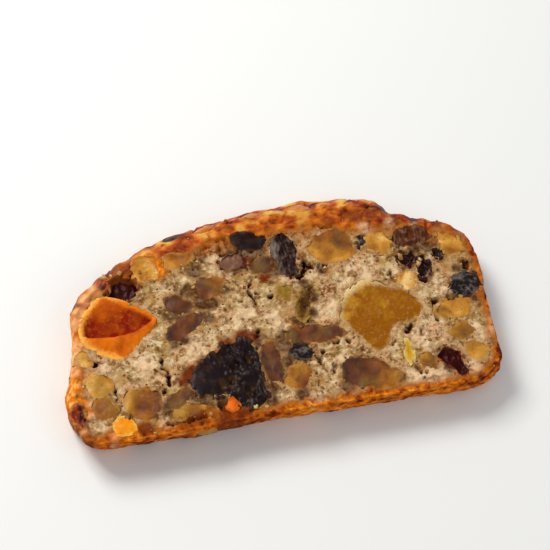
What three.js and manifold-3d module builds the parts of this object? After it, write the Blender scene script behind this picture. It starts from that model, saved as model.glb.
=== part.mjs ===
// A slice of a fruit cake loaf, lying flat on its lower cut face. Units are millimetres.
//
// +X runs along the loaf's width, +Y from the floor of the tin to the domed top, and +Z is up
// out of the upper cut face. The origin is under the middle of the slice's bounding box.
//
// The crumb and its crust are one body, lofted from the upper cut edge to the lower one. The
// fruit and the nuts are pebbles set in pockets of that body. The two knife cuts leave a flat
// face on each pebble that they pass through.

import * as THREE from "three";
import { mergeVertices } from "three/addons/utils/BufferGeometryUtils.js";
import Module from "manifold-3d";

const wasm = await Module();
wasm.setup();

// ---------------------------------------------------------------- driving dimensions

const THICKNESS = 9; // from the lower cut face to the upper one
const CRUST_BULGE = 1; // how far the crust swells out halfway between the cut faces
const DOME_EASE = 0.65; // below 1, the dome falls away from the upper edge steeply at first
const WALL_LEVELS = [1, 0.82, 0.5, 0.2, 0]; // share of the thickness below the upper face
const STEPS_PER_EDGE_POINT = 3; // straight steps between two named points of the edge

const POCKET_GAP = 0.3; // clear space round every piece of fruit or nut
const POCKET_REACH = 1; // how far a pocket's cutter runs out past the cut face it opens on

// The slice's edge on the upper cut face, anticlockwise from the left end of the tin side.
// Beside each point is the point below it on the lower cut face. The dome side slopes out, as
// the loaf is taller there, and the tin side tucks in a little.
const EDGE = [
  { upper: [-46.8, -1.2], lower: [-43.8, 1.2] },
  { upper: [-38, -2.1], lower: [-36, 0.9] },
  { upper: [-20, -2], lower: [-20, 0.6] },
  { upper: [0, -1.4], lower: [0, 1.1] },
  { upper: [24, -1.8], lower: [24, 0.8] },
  { upper: [43, -1.9], lower: [43, 0.1] },
  { upper: [51.6, 0.6], lower: [51.8, 1] },
  { upper: [54.8, 5.8], lower: [55, 6] },
  { upper: [55.4, 16], lower: [55, 17.6] },
  { upper: [56.2, 26], lower: [55.6, 28] },
  { upper: [56.2, 33.4], lower: [55.6, 36] },
  { upper: [53.3, 39.4], lower: [52.6, 42.4] },
  { upper: [46.6, 42.9], lower: [46, 46.4] },
  { upper: [38.4, 45], lower: [38.6, 50] },
  { upper: [33.6, 46.2], lower: [35.4, 54] },
  { upper: [26, 47], lower: [28, 57.6] },
  { upper: [15, 48.2], lower: [16.5, 59] },
  { upper: [3, 48.6], lower: [4, 58.2] },
  { upper: [-10, 47.7], lower: [-9, 56] },
  { upper: [-22, 45.8], lower: [-21, 52.8] },
  { upper: [-32, 42.4], lower: [-31.2, 48] },
  { upper: [-40, 38], lower: [-39.2, 42] },
  { upper: [-45.2, 32.4], lower: [-44.6, 35.4] },
  { upper: [-46.2, 24], lower: [-45.8, 26] },
  { upper: [-48.4, 15], lower: [-49, 17.4] },
  { upper: [-50.3, 7.4], lower: [-50.2, 10.2] },
  { upper: [-49.8, 2.6], lower: [-48.4, 4.2] },
];

// ---------------------------------------------------------------- finishes

const FINISHES = {
  cake: { color: 0xc39a62, roughness: 0.85 },
  apricot: { color: 0xc8660c, roughness: 0.32 },
  prune: { color: 0x1a1214, roughness: 0.35 },
  fig: { color: 0x3b2a25, roughness: 0.5 },
  date: { color: 0x4a1a12, roughness: 0.38 },
  raisin: { color: 0x2e1a1c, roughness: 0.4 },
  sultana: { color: 0x9a8436, roughness: 0.4 },
  walnut: { color: 0xb98545, roughness: 0.55 },
  peel: { color: 0xe9962a, roughness: 0.4 },
};

// ---------------------------------------------------------------- fruit and nuts

// Outlines of the three largest pieces on the upper cut face.
const APRICOT_LEFT = [
  [-44.6, 26.6], [-44.2, 30.4], [-41.4, 34], [-38.8, 36], [-35.4, 35.4], [-31.2, 32.8],
  [-26.3, 28], [-31, 23.6], [-35.4, 19.4], [-39.6, 20.6], [-43.6, 23.6],
];
const APRICOT_MIDDLE = [
  [18, 22], [20.8, 27.2], [26.5, 29.6], [31.2, 27.8], [36.8, 24.4], [38.8, 20], [36, 16.8],
  [30.6, 16.4], [28.6, 12.8], [25.2, 9.9], [22, 13.8], [19.2, 18.2],
];
const PRUNE_LARGE = [
  [-22, 10.3], [-17.6, 14.4], [-12, 18], [-8, 18.8], [-4.9, 17.6], [-4.4, 12.8], [-4.9, 6.6],
  [-4.4, 3.4], [-7.2, 1], [-10.6, 2.2], [-12.8, 5.6], [-17.4, 5.7], [-20.8, 7.5],
];

// Each piece: its middle and size on the cut face it shows on, turned anticlockwise by `turn`
// degrees. `through` pieces reach both cut faces, `under` pieces show on the lower one only, and
// the others end in the crumb at `deep` millimetres. A piece with an `outline` follows it.
const PIECES = {
  apricot: [
    { outline: APRICOT_LEFT, through: 0.8, steps: 22 },
    { outline: APRICOT_MIDDLE, through: 0.75, steps: 24 },
    { under: true, at: [29, 49.6], size: [13, 8], turn: -22, deep: 3, steps: 14 },
  ],
  prune: [
    { outline: PRUNE_LARGE, through: 0.85, steps: 26 },
    { at: [0.6, 45.6], size: [8.2, 5.2], turn: -8, deep: 5, square: 4 },
    { under: true, at: [44, 30.4], size: [11, 7.4], turn: 35, deep: 3 },
  ],
  fig: [{ at: [8.8, 40.4], size: [6.6, 12], turn: 4, through: 1.1, steps: 14 }],
  date: [
    { at: [-32.6, 37.7], size: [7.2, 7.6], turn: 20, through: 0.9 },
    { at: [-4.5, 40.2], size: [7, 5.6], turn: 10, deep: 4.5 },
    { at: [42.3, 4.4], size: [9.6, 4.6], turn: -60, through: 0.75 },
  ],
  raisin: [
    { at: [51, 24.1], size: [8.4, 6.6], turn: 12, deep: 5 },
    { at: [6.4, 13.4], size: [5.8, 4.4], turn: -15, deep: 4 },
    { at: [41.2, 40], size: [10, 5.4], turn: 8, deep: 5 },
    { at: [42.1, 30.9], size: [3.6, 6.2], turn: -12, deep: 3.4, steps: 10 },
    { at: [38.4, 34], size: [4.2, 4.8], turn: -40, deep: 3.4, steps: 10 },
    { at: [46.6, 34], size: [2.4, 3], turn: 10, deep: 2.2, steps: 8 },
    { at: [28.6, 40.8], size: [2, 3.4], turn: -10, deep: 2.4, steps: 8 },
    { at: [-48.7, 6.5], size: [3.2, 5.8], turn: 8, deep: 4.5, steps: 10 },
    { under: true, at: [-36, 15.4], size: [7, 4.6], turn: 30, deep: 3, steps: 10 },
    { under: true, at: [-3.6, 27], size: [6.4, 5], turn: -20, deep: 3, steps: 10 },
  ],
  sultana: [
    { at: [6.2, 29.8], size: [4, 4.4], turn: 0, deep: 3, steps: 10 },
    { at: [10.6, 26.4], size: [11.4, 3.8], turn: 60, deep: 4 },
    { under: true, at: [18.4, 31], size: [6.4, 4.2], turn: 60, deep: 3, steps: 10 },
  ],
  walnut: [
    { at: [21.2, 4.8], size: [14.8, 8], turn: -17, through: 0.8, steps: 16 },
    { at: [20.5, 40.6], size: [12.6, 8.6], turn: 4, through: 0.8, steps: 16 },
    { at: [10.4, 17.5], size: [15.4, 4.8], turn: -7, through: 0.8, steps: 14 },
    { at: [-1.3, 11.6], size: [4.8, 12], turn: -2, through: 1 },
    { at: [-33.7, 6.9], size: [8.8, 8.2], turn: 0, through: 0.9, square: 3 },
    { at: [-19.6, 25], size: [12, 4.6], turn: 24, through: 0.9 },
    { at: [-12, 34.5], size: [7, 6.4], turn: -10, through: 1.1 },
    { at: [-20.4, 30.9], size: [7.2, 4.8], turn: -14, deep: 4.5 },
    { at: [-26.4, 42], size: [6.4, 6.8], turn: 10, deep: 5 },
    { at: [-18, 43.4], size: [7.4, 4], turn: 5, deep: 4 },
    { at: [2.1, 38.3], size: [5.6, 6], turn: 5, deep: 4 },
    { at: [32.5, 39.4], size: [6, 6.2], turn: 20, through: 1.1 },
    { at: [50.3, 36.2], size: [5.6, 6.6], turn: 24, deep: 5 },
    { at: [46.4, 18.2], size: [9.4, 5.4], turn: 3, through: 1 },
    { at: [46.6, 12.2], size: [6, 4.4], turn: -6, deep: 4 },
    { at: [36, 5.4], size: [4.2, 5], turn: 8, deep: 3.6, steps: 10 },
    { at: [48.8, 6], size: [5.4, 5], turn: 12, deep: 4.5 },
    { at: [4.2, 6.8], size: [6.2, 7.2], turn: -25, through: 1 },
    { at: [-42.9, 13.3], size: [5.8, 5.6], turn: -8, deep: 4.5, square: 3 },
    { at: [-42.6, 7.1], size: [5.4, 5.4], turn: 10, through: 1.1 },
    { at: [-25, 6.6], size: [8.6, 3.6], turn: 25, deep: 4 },
    { at: [-23.4, 3], size: [8, 3], turn: 8, deep: 4 },
    { at: [-45, 20.6], size: [3, 4], turn: 8, deep: 3, steps: 8 },
    { at: [37.2, 27.6], size: [4.8, 4.6], turn: 20, deep: 3, steps: 8, square: 4 },
    { under: true, at: [-24, 47.2], size: [9, 5.8], turn: 25, deep: 3 },
    { under: true, at: [-2, 45], size: [9, 6], turn: -15, deep: 3 },
  ],
  peel: [
    { at: [-39, 1.8], size: [5.4, 4.8], turn: 4, deep: 4, steps: 10, square: 4 },
    { at: [-13, 2.6], size: [3.8, 3.6], turn: 30, deep: 3, steps: 8, square: 3 },
    { at: [32.1, 8.6], size: [2.6, 7.4], turn: -3, deep: 3.4, steps: 10 },
    { under: true, at: [33, 7.5], size: [7, 3.6], turn: -35, deep: 3, steps: 10 },
  ],
};

// Whole pebbles bedded in the crust: `edge` counts the points of EDGE up to where the pebble
// sits, `below` is its middle's depth under the upper cut face as a share of the thickness, and
// `sunk` is how far its middle lies inside the crust. Sizes are along the crust, across it and
// through the thickness.
const CRUST_PIECES = {
  walnut: [
    { edge: 15.9, below: 0.42, sunk: 1.5, size: [6.6, 6, 4.6] },
    { edge: 17.1, below: 0.45, sunk: 1.3, size: [6.2, 5, 4] },
    { edge: 18, below: 0.36, sunk: 1.3, size: [5.6, 4.8, 4.2] },
    { edge: 1.87, below: 0.46, sunk: 1, size: [5.2, 4, 6.6] },
  ],
  raisin: [{ edge: 18.5, below: 0.42, sunk: 0.9, size: [6.2, 4.6, 4.2] }],
};

const PEBBLE_STEPS = 12; // points round a piece unless it names its own
const CRUST_PEBBLE_STEPS = 10;
const LOBES = [
  { waves: 2, share: 0.05 },
  { waves: 3, share: 0.07 },
  { waves: 5, share: 0.04 },
]; // how many swells go round a piece, and how high they are as a share of its radius
const BED_LEVELS = [
  { down: 1, scale: 0.5 },
  { down: 0.5, scale: 0.98 },
  { down: 0, scale: 1 },
]; // widths of a piece that ends in the crumb, from its deepest point to the cut face
const CRUST_LEVELS = [-1, -0.45, 0.45, 1]; // heights in a whole pebble, in half thicknesses

// ---------------------------------------------------------------- helpers

/** A closed body through a stack of level rings, lowest first, capped flat at both ends. */
function loft(rings) {
  const count = rings[0].length;
  const index = [];
  for (let level = 0; level < rings.length - 1; level++) {
    for (let i = 0; i < count; i++) {
      const a = level * count + i;
      const b = level * count + ((i + 1) % count);
      index.push(a, b, b + count, a, b + count, a + count);
    }
  }
  const last = (rings.length - 1) * count;
  for (const [a, b, c] of THREE.ShapeUtils.triangulateShape(rings[0], [])) {
    index.push(c, b, a);
  }
  for (const [a, b, c] of THREE.ShapeUtils.triangulateShape(rings.at(-1), [])) {
    index.push(last + a, last + b, last + c);
  }
  const geometry = new THREE.BufferGeometry().setFromPoints(rings.flat());
  geometry.setIndex(index);
  return geometry;
}

/** A closed geometry as a solid that can be cut and joined. */
function solidOf(geometry) {
  const bare = geometry.clone();
  bare.deleteAttribute("normal");
  bare.deleteAttribute("uv");
  const merged = mergeVertices(bare);
  return new wasm.Manifold(
    new wasm.Mesh({
      numProp: 3,
      vertProperties: new Float32Array(merged.attributes.position.array),
      triVerts: new Uint32Array(merged.index.array),
    }),
  );
}

/** The largest separate body of a solid: a cut can free a crumb too small to keep. */
function mainBody(solid) {
  const bodies = solid.decompose();
  return bodies.reduce((best, body) => (body.volume() > best.volume() ? body : best));
}

/** A named mesh of a solid in the finish of its kind. */
function meshOf(name, kind, solid) {
  const { vertProperties, triVerts } = solid.getMesh();
  const geometry = new THREE.BufferGeometry();
  geometry.setAttribute("position", new THREE.BufferAttribute(vertProperties, 3));
  geometry.setIndex(new THREE.BufferAttribute(triVerts, 1));
  geometry.computeVertexNormals();
  const material = new THREE.MeshStandardMaterial({ ...FINISHES[kind], metalness: 0 });
  const mesh = new THREE.Mesh(geometry, material);
  mesh.name = name;
  return mesh;
}

/** Points moved outwards by `grow`, square to an anticlockwise closed outline. */
function grown(points, grow) {
  const count = points.length;
  return points.map((point, i) => {
    const before = points[(i + count - 1) % count];
    const after = points[(i + 1) % count];
    const along = new THREE.Vector2().subVectors(after, before).normalize();
    return new THREE.Vector2(point.x + along.y * grow, point.y - along.x * grow);
  });
}

/** A smooth closed curve through hand-set points, as a list of `steps` points. */
function smoothLoop(corners, steps) {
  const curve = new THREE.CatmullRomCurve3(
    corners.map(([x, y]) => new THREE.Vector3(x, y, 0)),
    true,
    "catmullrom",
    0.5,
  );
  const points = [];
  for (let i = 0; i < steps; i++) {
    const { x, y } = curve.getPoint(i / steps);
    points.push(new THREE.Vector2(x, y));
  }
  return points;
}

/** A level ring at height z: the outline scaled about its middle, then grown. */
function ringAt(outline, middle, scale, z, grow) {
  const scaled = outline.map((point) => point.clone().sub(middle).multiplyScalar(scale).add(middle));
  return grown(scaled, grow).map((point) => new THREE.Vector3(point.x, point.y, z));
}

/** The middle of a list of points. */
function middleOf(points) {
  const sum = points.reduce((total, point) => total.add(point), new THREE.Vector2());
  return sum.divideScalar(points.length);
}

// ---------------------------------------------------------------- crumb and crust

const edgeSteps = EDGE.length * STEPS_PER_EDGE_POINT;
const upperEdge = smoothLoop(EDGE.map((point) => point.upper), edgeSteps);
const lowerEdge = smoothLoop(EDGE.map((point) => point.lower), edgeSteps);

/** The slice's outline at a depth below the upper cut face, as a share of the thickness. */
function wallOutline(depth) {
  const slope = depth ** DOME_EASE;
  const between = upperEdge.map((point, i) => point.clone().lerp(lowerEdge[i], slope));
  return grown(between, CRUST_BULGE * Math.sin(Math.PI * depth));
}

/** The whole slice before any pocket is cut. */
function sliceBody() {
  return loft(
    WALL_LEVELS.map((depth) =>
      wallOutline(depth).map(
        (point) => new THREE.Vector3(point.x, point.y, THICKNESS * (1 - depth)),
      ),
    ),
  );
}

// ---------------------------------------------------------------- pebbles

/** An uneven oval: `square` above 2 gives it flatter sides, `seed` shifts its swells. */
function unevenOval({ at, size, turn = 0, square = 2.3, steps = PEBBLE_STEPS }, seed) {
  const middle = new THREE.Vector2(...at);
  const points = [];
  for (let i = 0; i < steps; i++) {
    const angle = (2 * Math.PI * i) / steps;
    const cos = Math.abs(Math.cos(angle)) ** square;
    const sin = Math.abs(Math.sin(angle)) ** square;
    const swell = LOBES.reduce(
      (sum, lobe, k) => sum + lobe.share * Math.sin(lobe.waves * angle + seed * (k + 1.7)),
      1,
    );
    const radius = swell * (cos + sin) ** (-1 / square);
    const point = new THREE.Vector2(
      (Math.cos(angle) * radius * size[0]) / 2,
      (Math.sin(angle) * radius * size[1]) / 2,
    );
    points.push(point.rotateAround(new THREE.Vector2(), THREE.MathUtils.degToRad(turn)).add(middle));
  }
  return points;
}

/** The rings of a piece that shows on a cut face, as itself or `grow` wider for its pocket. */
function cutPieceRings(piece, outline, grow) {
  const middle = middleOf(outline);
  const reach = grow > 0 ? POCKET_REACH : 0;
  if (piece.through) {
    const waist = (1 + piece.through) / 2 + 0.06;
    return [
      ringAt(outline, middle, piece.through, -reach, grow),
      ringAt(outline, middle, piece.through, 0, grow),
      ringAt(outline, middle, waist, THICKNESS / 2, grow),
      ringAt(outline, middle, 1, THICKNESS, grow),
      ringAt(outline, middle, 1, THICKNESS + reach, grow),
    ].slice(reach ? 0 : 1, reach ? 5 : 4);
  }
  const levels = BED_LEVELS.map(({ down, scale }) => ({
    scale,
    depth: down === 1 ? piece.deep + grow : piece.deep * down,
  }));
  if (reach) levels.push({ scale: 1, depth: -reach });
  const heights = levels.map(({ scale, depth }) => ({
    scale,
    z: piece.under ? depth : THICKNESS - depth,
  }));
  if (piece.under) heights.reverse();
  return heights.map(({ scale, z }) => ringAt(outline, middle, scale, z, grow));
}

/** The rings of a whole pebble bedded in the crust. */
function crustPieceRings(piece, seed, grow) {
  const step = Math.round(piece.edge * STEPS_PER_EDGE_POINT) % edgeSteps;
  const wall = wallOutline(piece.below);
  const inside = grown(wall, -piece.sunk);
  const ahead = wall[(step + 1) % edgeSteps];
  const behind = wall[(step + edgeSteps - 1) % edgeSteps];
  const along = new THREE.Vector2().subVectors(ahead, behind);
  const [length, width, height] = piece.size;
  const middle = inside[step];
  const turn = THREE.MathUtils.radToDeg(along.angle());
  const oval = { at: [middle.x, middle.y], size: [length, width], turn, steps: CRUST_PEBBLE_STEPS };
  const outline = unevenOval(oval, seed);
  const centre = THICKNESS * (1 - piece.below);
  return CRUST_LEVELS.map((level) => {
    const scale = Math.max(0.3, Math.sqrt(1 - level * level));
    return ringAt(outline, middle, scale, centre + level * (height / 2 + grow), grow);
  });
}

// ---------------------------------------------------------------- the slice, put together

/** Every piece of fruit and nut, with its own solid and the solid of its pocket. */
function makePieces() {
  const made = [];
  const counts = {};
  const add = (kind, rings) => {
    counts[kind] = (counts[kind] ?? 0) + 1;
    const pocket = solidOf(loft(rings(POCKET_GAP)));
    let body = solidOf(loft(rings(0)));
    for (const earlier of made) {
      if (!body.intersect(earlier.pocket).isEmpty()) {
        body = mainBody(body.subtract(earlier.pocket));
      }
    }
    made.push({ name: `${kind}_${counts[kind]}`, kind, body, pocket });
  };
  let seed = 0;
  for (const [kind, pieces] of Object.entries(PIECES)) {
    for (const piece of pieces) {
      seed += 1;
      const steps = piece.steps ?? PEBBLE_STEPS;
      const outline = piece.outline
        ? smoothLoop(piece.outline, steps).reverse()
        : unevenOval(piece, seed);
      if (THREE.ShapeUtils.isClockWise(outline)) outline.reverse();
      add(kind, (grow) => cutPieceRings(piece, outline, grow));
    }
  }
  for (const [kind, pieces] of Object.entries(CRUST_PIECES)) {
    for (const piece of pieces) {
      seed += 1;
      const pebbleSeed = seed;
      add(kind, (grow) => crustPieceRings(piece, pebbleSeed, grow));
    }
  }
  return made;
}

const pieces = makePieces();
const crumb = pieces.reduce(
  (body, piece) => body.subtract(piece.pocket),
  solidOf(sliceBody()),
);

const slice = new THREE.Group();
slice.add(meshOf("crumb_and_crust", "cake", mainBody(crumb)));
for (const { name, kind, body } of pieces) slice.add(meshOf(name, kind, body));

const box = new THREE.Box3().setFromObject(slice);
const centre = box.getCenter(new THREE.Vector3());
slice.position.set(-centre.x, -centre.y, -box.min.z);

export default slice;
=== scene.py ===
# %% [markdown]
# # A slice of fruit cake, lying on its cut face
# The real slice comes from a loaf baked in a long tin: a pale, open crumb with a browned crust
# round it, packed with walnuts, raisins, prunes, dates, fig, apricot and candied peel. The knife
# went straight through all of them, so the cut face is one plane with every filling laid open.
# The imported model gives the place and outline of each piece. This lesson gives them their
# surfaces: first the crumb, then each kind of fruit and nut, then the finishes.

# %% Load the frame
import math
import random

import bpy
import numpy as np
from mathutils import Euler, Matrix, Vector, kdtree, noise
from mathutils.bvhtree import BVHTree


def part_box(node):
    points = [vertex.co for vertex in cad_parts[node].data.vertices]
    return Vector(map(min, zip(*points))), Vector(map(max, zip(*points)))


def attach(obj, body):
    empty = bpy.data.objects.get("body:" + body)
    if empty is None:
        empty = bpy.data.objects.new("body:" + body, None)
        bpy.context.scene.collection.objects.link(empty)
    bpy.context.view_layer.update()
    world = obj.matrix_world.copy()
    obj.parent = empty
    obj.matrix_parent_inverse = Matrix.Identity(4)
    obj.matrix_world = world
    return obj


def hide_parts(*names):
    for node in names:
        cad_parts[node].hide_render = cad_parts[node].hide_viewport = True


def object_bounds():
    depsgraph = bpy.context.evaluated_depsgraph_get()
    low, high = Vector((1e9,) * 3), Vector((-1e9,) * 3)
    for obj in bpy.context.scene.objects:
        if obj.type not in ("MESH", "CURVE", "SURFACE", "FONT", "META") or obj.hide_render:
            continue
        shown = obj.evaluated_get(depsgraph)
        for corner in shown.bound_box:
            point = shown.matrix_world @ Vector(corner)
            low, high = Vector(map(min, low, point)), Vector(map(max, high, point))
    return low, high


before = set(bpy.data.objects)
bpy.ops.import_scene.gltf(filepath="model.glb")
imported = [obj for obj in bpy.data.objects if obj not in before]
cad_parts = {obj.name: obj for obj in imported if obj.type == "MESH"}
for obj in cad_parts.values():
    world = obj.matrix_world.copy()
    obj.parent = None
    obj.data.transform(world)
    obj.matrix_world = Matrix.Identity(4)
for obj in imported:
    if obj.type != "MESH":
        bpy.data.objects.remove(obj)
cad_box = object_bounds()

MM = 0.001
SLICE_LOW = np.array(cad_box[0]) / MM
SLICE_HIGH = np.array(cad_box[1]) / MM
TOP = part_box("crumb_and_crust")[1].z / MM  # height of the upper cut face
print("slice", (SLICE_HIGH - SLICE_LOW).round(1), "mm, upper cut face at", round(TOP, 2))

# %% [markdown]
# ## Camera
# A plate of cake is looked at from a little above and from close by, with a long lens. The
# camera is built from the direction it looks in, so that its place follows from the point it
# looks at. Its back, its level side and its upright are the three axes of its matrix.

# %% Place the camera
CAMERA_AIM = Vector((2.013, 6.546, 9.0)) * MM
CAMERA_DISTANCE = 427.34 * MM
CAMERA_ELEVATION = math.radians(59.889)
CAMERA_AZIMUTH = math.radians(-23.054)
CAMERA_ROLL = math.radians(11.223)
CAMERA_LENS = 113.89
CLIP_NEAR, CLIP_FAR = 0.01, 10  # metres


def camera_axes():
    """Right, up and back of the camera, as unit vectors."""
    back = Vector((math.cos(CAMERA_ELEVATION) * math.sin(CAMERA_AZIMUTH),
                   -math.cos(CAMERA_ELEVATION) * math.cos(CAMERA_AZIMUTH),
                   math.sin(CAMERA_ELEVATION)))
    level = Vector((math.cos(CAMERA_AZIMUTH), math.sin(CAMERA_AZIMUTH), 0))
    upright = back.cross(level)
    right = level * math.cos(CAMERA_ROLL) + upright * math.sin(CAMERA_ROLL)
    return right, back.cross(right), back


bpy.ops.object.camera_add()
camera = bpy.context.object
camera.name = "camera"
right, up, back = camera_axes()
for row in range(3):
    camera.matrix_world[row][:3] = right[row], up[row], back[row]
camera.matrix_world.translation = CAMERA_AIM + back * CAMERA_DISTANCE
camera.data.lens = CAMERA_LENS
camera.data.clip_start = CLIP_NEAR
camera.data.clip_end = CLIP_FAR
bpy.context.scene.camera = camera
print("camera", [round(c, 3) for c in camera.matrix_world.translation])

# %% [markdown]
# ## Colours, nodes and light
# Colours are written as sRGB hex, the way a paint program shows them, and Blender wants them
# linear, so one function turns them. One helper adds any node, sets it up and links it, and
# every material below is built with it. It gives back the output that the next node needs.

# %% Helpers for colours and nodes
def paint(code, alpha=1.0):
    """An sRGB hex colour as linear red, green, blue and alpha."""
    parts = [int(code[i:i + 2], 16) / 255 for i in (1, 3, 5)]
    return tuple(c / 12.92 if c <= 0.04045 else ((c + 0.055) / 1.055) ** 2.4 for c in parts) + (alpha,)


def add(tree, kind, inputs=(), out=0, stops=None, **settings):
    """Adds a shader node with its settings, links it, and gives back one of its outputs.
    Its inputs come in their order, or by name or number. Each is a value, a colour in hex or
    another node's output. The stops are places and colours on a ramp."""
    made = tree.nodes.new("ShaderNode" + kind)
    for name, value in settings.items():
        setattr(made, name, value)
    for name, value in inputs.items() if isinstance(inputs, dict) else enumerate(inputs):
        if isinstance(value, bpy.types.NodeSocket):
            tree.links.new(value, made.inputs[name])
        else:
            made.inputs[name].default_value = paint(value) if isinstance(value, str) else value
    if stops:
        ramp = made.color_ramp.elements
        while len(ramp) < len(stops):
            ramp.new(0.5)
        for element, (position, code) in zip(ramp, stops):
            element.position = position
            element.color = paint(code)
    return made.outputs[out] if len(made.outputs) else made


def new_material(name):
    """An empty node material and its tree."""
    material = bpy.data.materials.new(name)
    material.use_nodes = True
    material.node_tree.nodes.clear()
    return material, material.node_tree


print("mid grey in linear light:", round(paint("#808080")[0], 3))

# %% [markdown]
# The stage is a plain pale floor. The light of a table by a window is one large soft source
# from behind and to the left, a weaker one in front, and the room's own pale light. The
# standard view transform keeps the oranges of crust and apricot as full as they are.

# %% Floor and light
KEY_PLACE = Vector((-310, 440, 540)) * MM
FILL_PLACE = Vector((260, -420, 380)) * MM
ROOM_LIGHT = 0.44
FLOOR_SIZE = 4  # metres


def soft_light(name, place, size, watts, code):
    """A square area light of this size, in metres, that looks at the slice."""
    bpy.ops.object.light_add(type="AREA", location=place)
    lamp = bpy.context.object
    lamp.name = name
    lamp.rotation_euler = (CAMERA_AIM - place).to_track_quat("-Z", "Y").to_euler()
    lamp.data.shape = "SQUARE"
    lamp.data.size = size
    lamp.data.energy = watts
    lamp.data.color = paint(code)[:3]


soft_light("window", KEY_PLACE, 0.32, 5.3, "#FFFCF4")
soft_light("fill", FILL_PLACE, 0.55, 0.8, "#FFF6EC")

world = bpy.data.worlds.new("room")
bpy.context.scene.world = world
world.use_nodes = True
world.node_tree.nodes["Background"].inputs["Color"].default_value = paint("#FCFCFC")
world.node_tree.nodes["Background"].inputs["Strength"].default_value = ROOM_LIGHT
bpy.context.scene.view_settings.view_transform = "Standard"

bpy.ops.mesh.primitive_plane_add(size=FLOOR_SIZE)
floor = bpy.context.object
floor.name = "floor"
floor_material, tree = new_material("matt_white_table")
shader = add(tree, "BsdfPrincipled", {"Base Color": "#E8EAEC", "Roughness": 0.6})
add(tree, "OutputMaterial", {"Surface": shader})
floor.data.materials.append(floor_material)

# %% [markdown]
# ## Tools for shaping
# Each CAD node is a coarse solid. A copy of it is merged, remeshed into small even faces and
# then shaped. The helpers here copy a node, apply a modifier, and read and move the vertices
# in millimetres, because crumb and fruit are thought of in millimetres.

# %% Helpers for meshes
SHIFT = np.array([-2.913, -28.420])  # the middle of the tin side's edge, in the part's frame
SAME_PLACE = 0.001  # vertices closer than this many millimetres are one
NOISE_GAIN = 1.6    # the noise stays within about 0.6, and this brings it to between -1 and 1
SEED_STEP = 17.3    # how far apart the patterns of two seeds lie


def only(thing):
    """Selects this object alone and makes it the active one."""
    bpy.ops.object.select_all(action="DESELECT")
    thing.select_set(True)
    bpy.context.view_layer.objects.active = thing


def copy_of(node, name):
    """A merged copy of a CAD node, free to be shaped."""
    made = bpy.data.objects.new(name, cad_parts[node].data.copy())
    bpy.context.scene.collection.objects.link(made)
    made.data.name = name
    made.data.materials.clear()
    only(made)
    bpy.ops.object.mode_set(mode="EDIT")
    bpy.ops.mesh.select_all(action="SELECT")
    bpy.ops.mesh.remove_doubles(threshold=SAME_PLACE * MM)
    bpy.ops.object.mode_set(mode="OBJECT")
    return made


def modify(thing, kind, **settings):
    """Adds a modifier with its settings and applies it."""
    only(thing)
    modifier = thing.modifiers.new(kind.lower(), kind)
    for name, value in settings.items():
        setattr(modifier, name, value)
    bpy.ops.object.modifier_apply(modifier=modifier.name)


def places(thing):
    """The vertices in millimetres, one row each."""
    flat = np.empty(len(thing.data.vertices) * 3, np.float32)
    thing.data.vertices.foreach_get("co", flat)
    return flat.reshape(-1, 3).astype(float) / MM


def directions(thing):
    """The outward direction at each vertex."""
    flat = np.empty(len(thing.data.vertices) * 3, np.float32)
    thing.data.vertices.foreach_get("normal", flat)
    return flat.reshape(-1, 3).astype(float)


def put(thing, points):
    """Moves the vertices to these places, in millimetres."""
    thing.data.vertices.foreach_set("co", (points * MM).astype(np.float32).ravel())
    thing.data.update()


def mark(thing, name, values):
    """Stores one number for each vertex, for a material to read."""
    layer = thing.data.attributes.new(name, "FLOAT", "POINT")
    layer.data.foreach_set("value", np.asarray(values, np.float32))


def weigh(thing, name, weights, steps=20):
    """A vertex group from one weight for each vertex."""
    group = thing.vertex_groups.new(name=name)
    level = np.round(np.clip(weights, 0, 1) * steps).astype(int)
    for step in range(1, steps + 1):
        group.add(np.flatnonzero(level == step).tolist(), step / steps, "REPLACE")


def ease(values, low, high):
    """0 below low, 1 above high, and a smooth rise between."""
    t = np.clip((values - low) / (high - low), 0, 1)
    return t * t * (3 - 2 * t)


def lumps(points, size, stretch=(1, 1, 1), seed=0, ridged=False):
    """Smooth noise between about -1 and 1, one value for each point. Size is in millimetres.
    Ridged noise is 1 along sharp lines and falls to -1 between them."""
    scaled = points / (size * np.array(stretch)) + seed * SEED_STEP
    found = NOISE_GAIN * np.array([noise.noise(Vector(p)) for p in scaled])
    return 1 - 2 * np.abs(found) if ridged else found


def grid(x, y):
    """A place given from the tin side's middle, as x and y in the part's frame."""
    return np.array([x, y]) + SHIFT


def reach(points, centre, radius):
    """1 at a place on the face, falling smoothly to 0 at the radius."""
    far = np.hypot(points[:, 0] - centre[0], points[:, 1] - centre[1])
    return 1 - ease(far, 0, radius)


def spots(points, places_and_radii):
    """The strongest of several round spots at each vertex."""
    found = np.zeros(len(points))
    for x, y, radius in places_and_radii:
        found = np.maximum(found, reach(points, grid(x, y), radius))
    return found


def triangles(thing):
    """How many triangles the mesh has."""
    return sum(len(p.vertices) - 2 for p in thing.data.polygons)


print("noise at three places:", lumps(np.array([[0, 0, 0], [1, 2, 3], [4, 5, 6]]), 3.5).round(2))

# %% [markdown]
# ## The crumb and its crust
# A cake's crumb is a foam: bubbles of all sizes that the knife opens into pores, torn a little
# round the fruit. Sculpting it by hand would take days, and a bump map alone looks like printed
# paper. So the solid is remeshed to 0.3 mm faces, finer than most pores, and the pores are
# pressed into it as real dents. The crust is the same body's outer skin. How far a vertex lies
# inside that skin is measured once and stored, because the browning follows it.

# %% Find the crust on the CAD body
CRUMB_VOXEL = 0.3
RAY_TURNS = 900
RAY_START = 100  # millimetres from the middle, well outside the slice
RAY_HEIGHTS = (0.05, 0.14, 0.25, 0.4, 0.55, 0.7, 0.84, 0.95)


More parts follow.
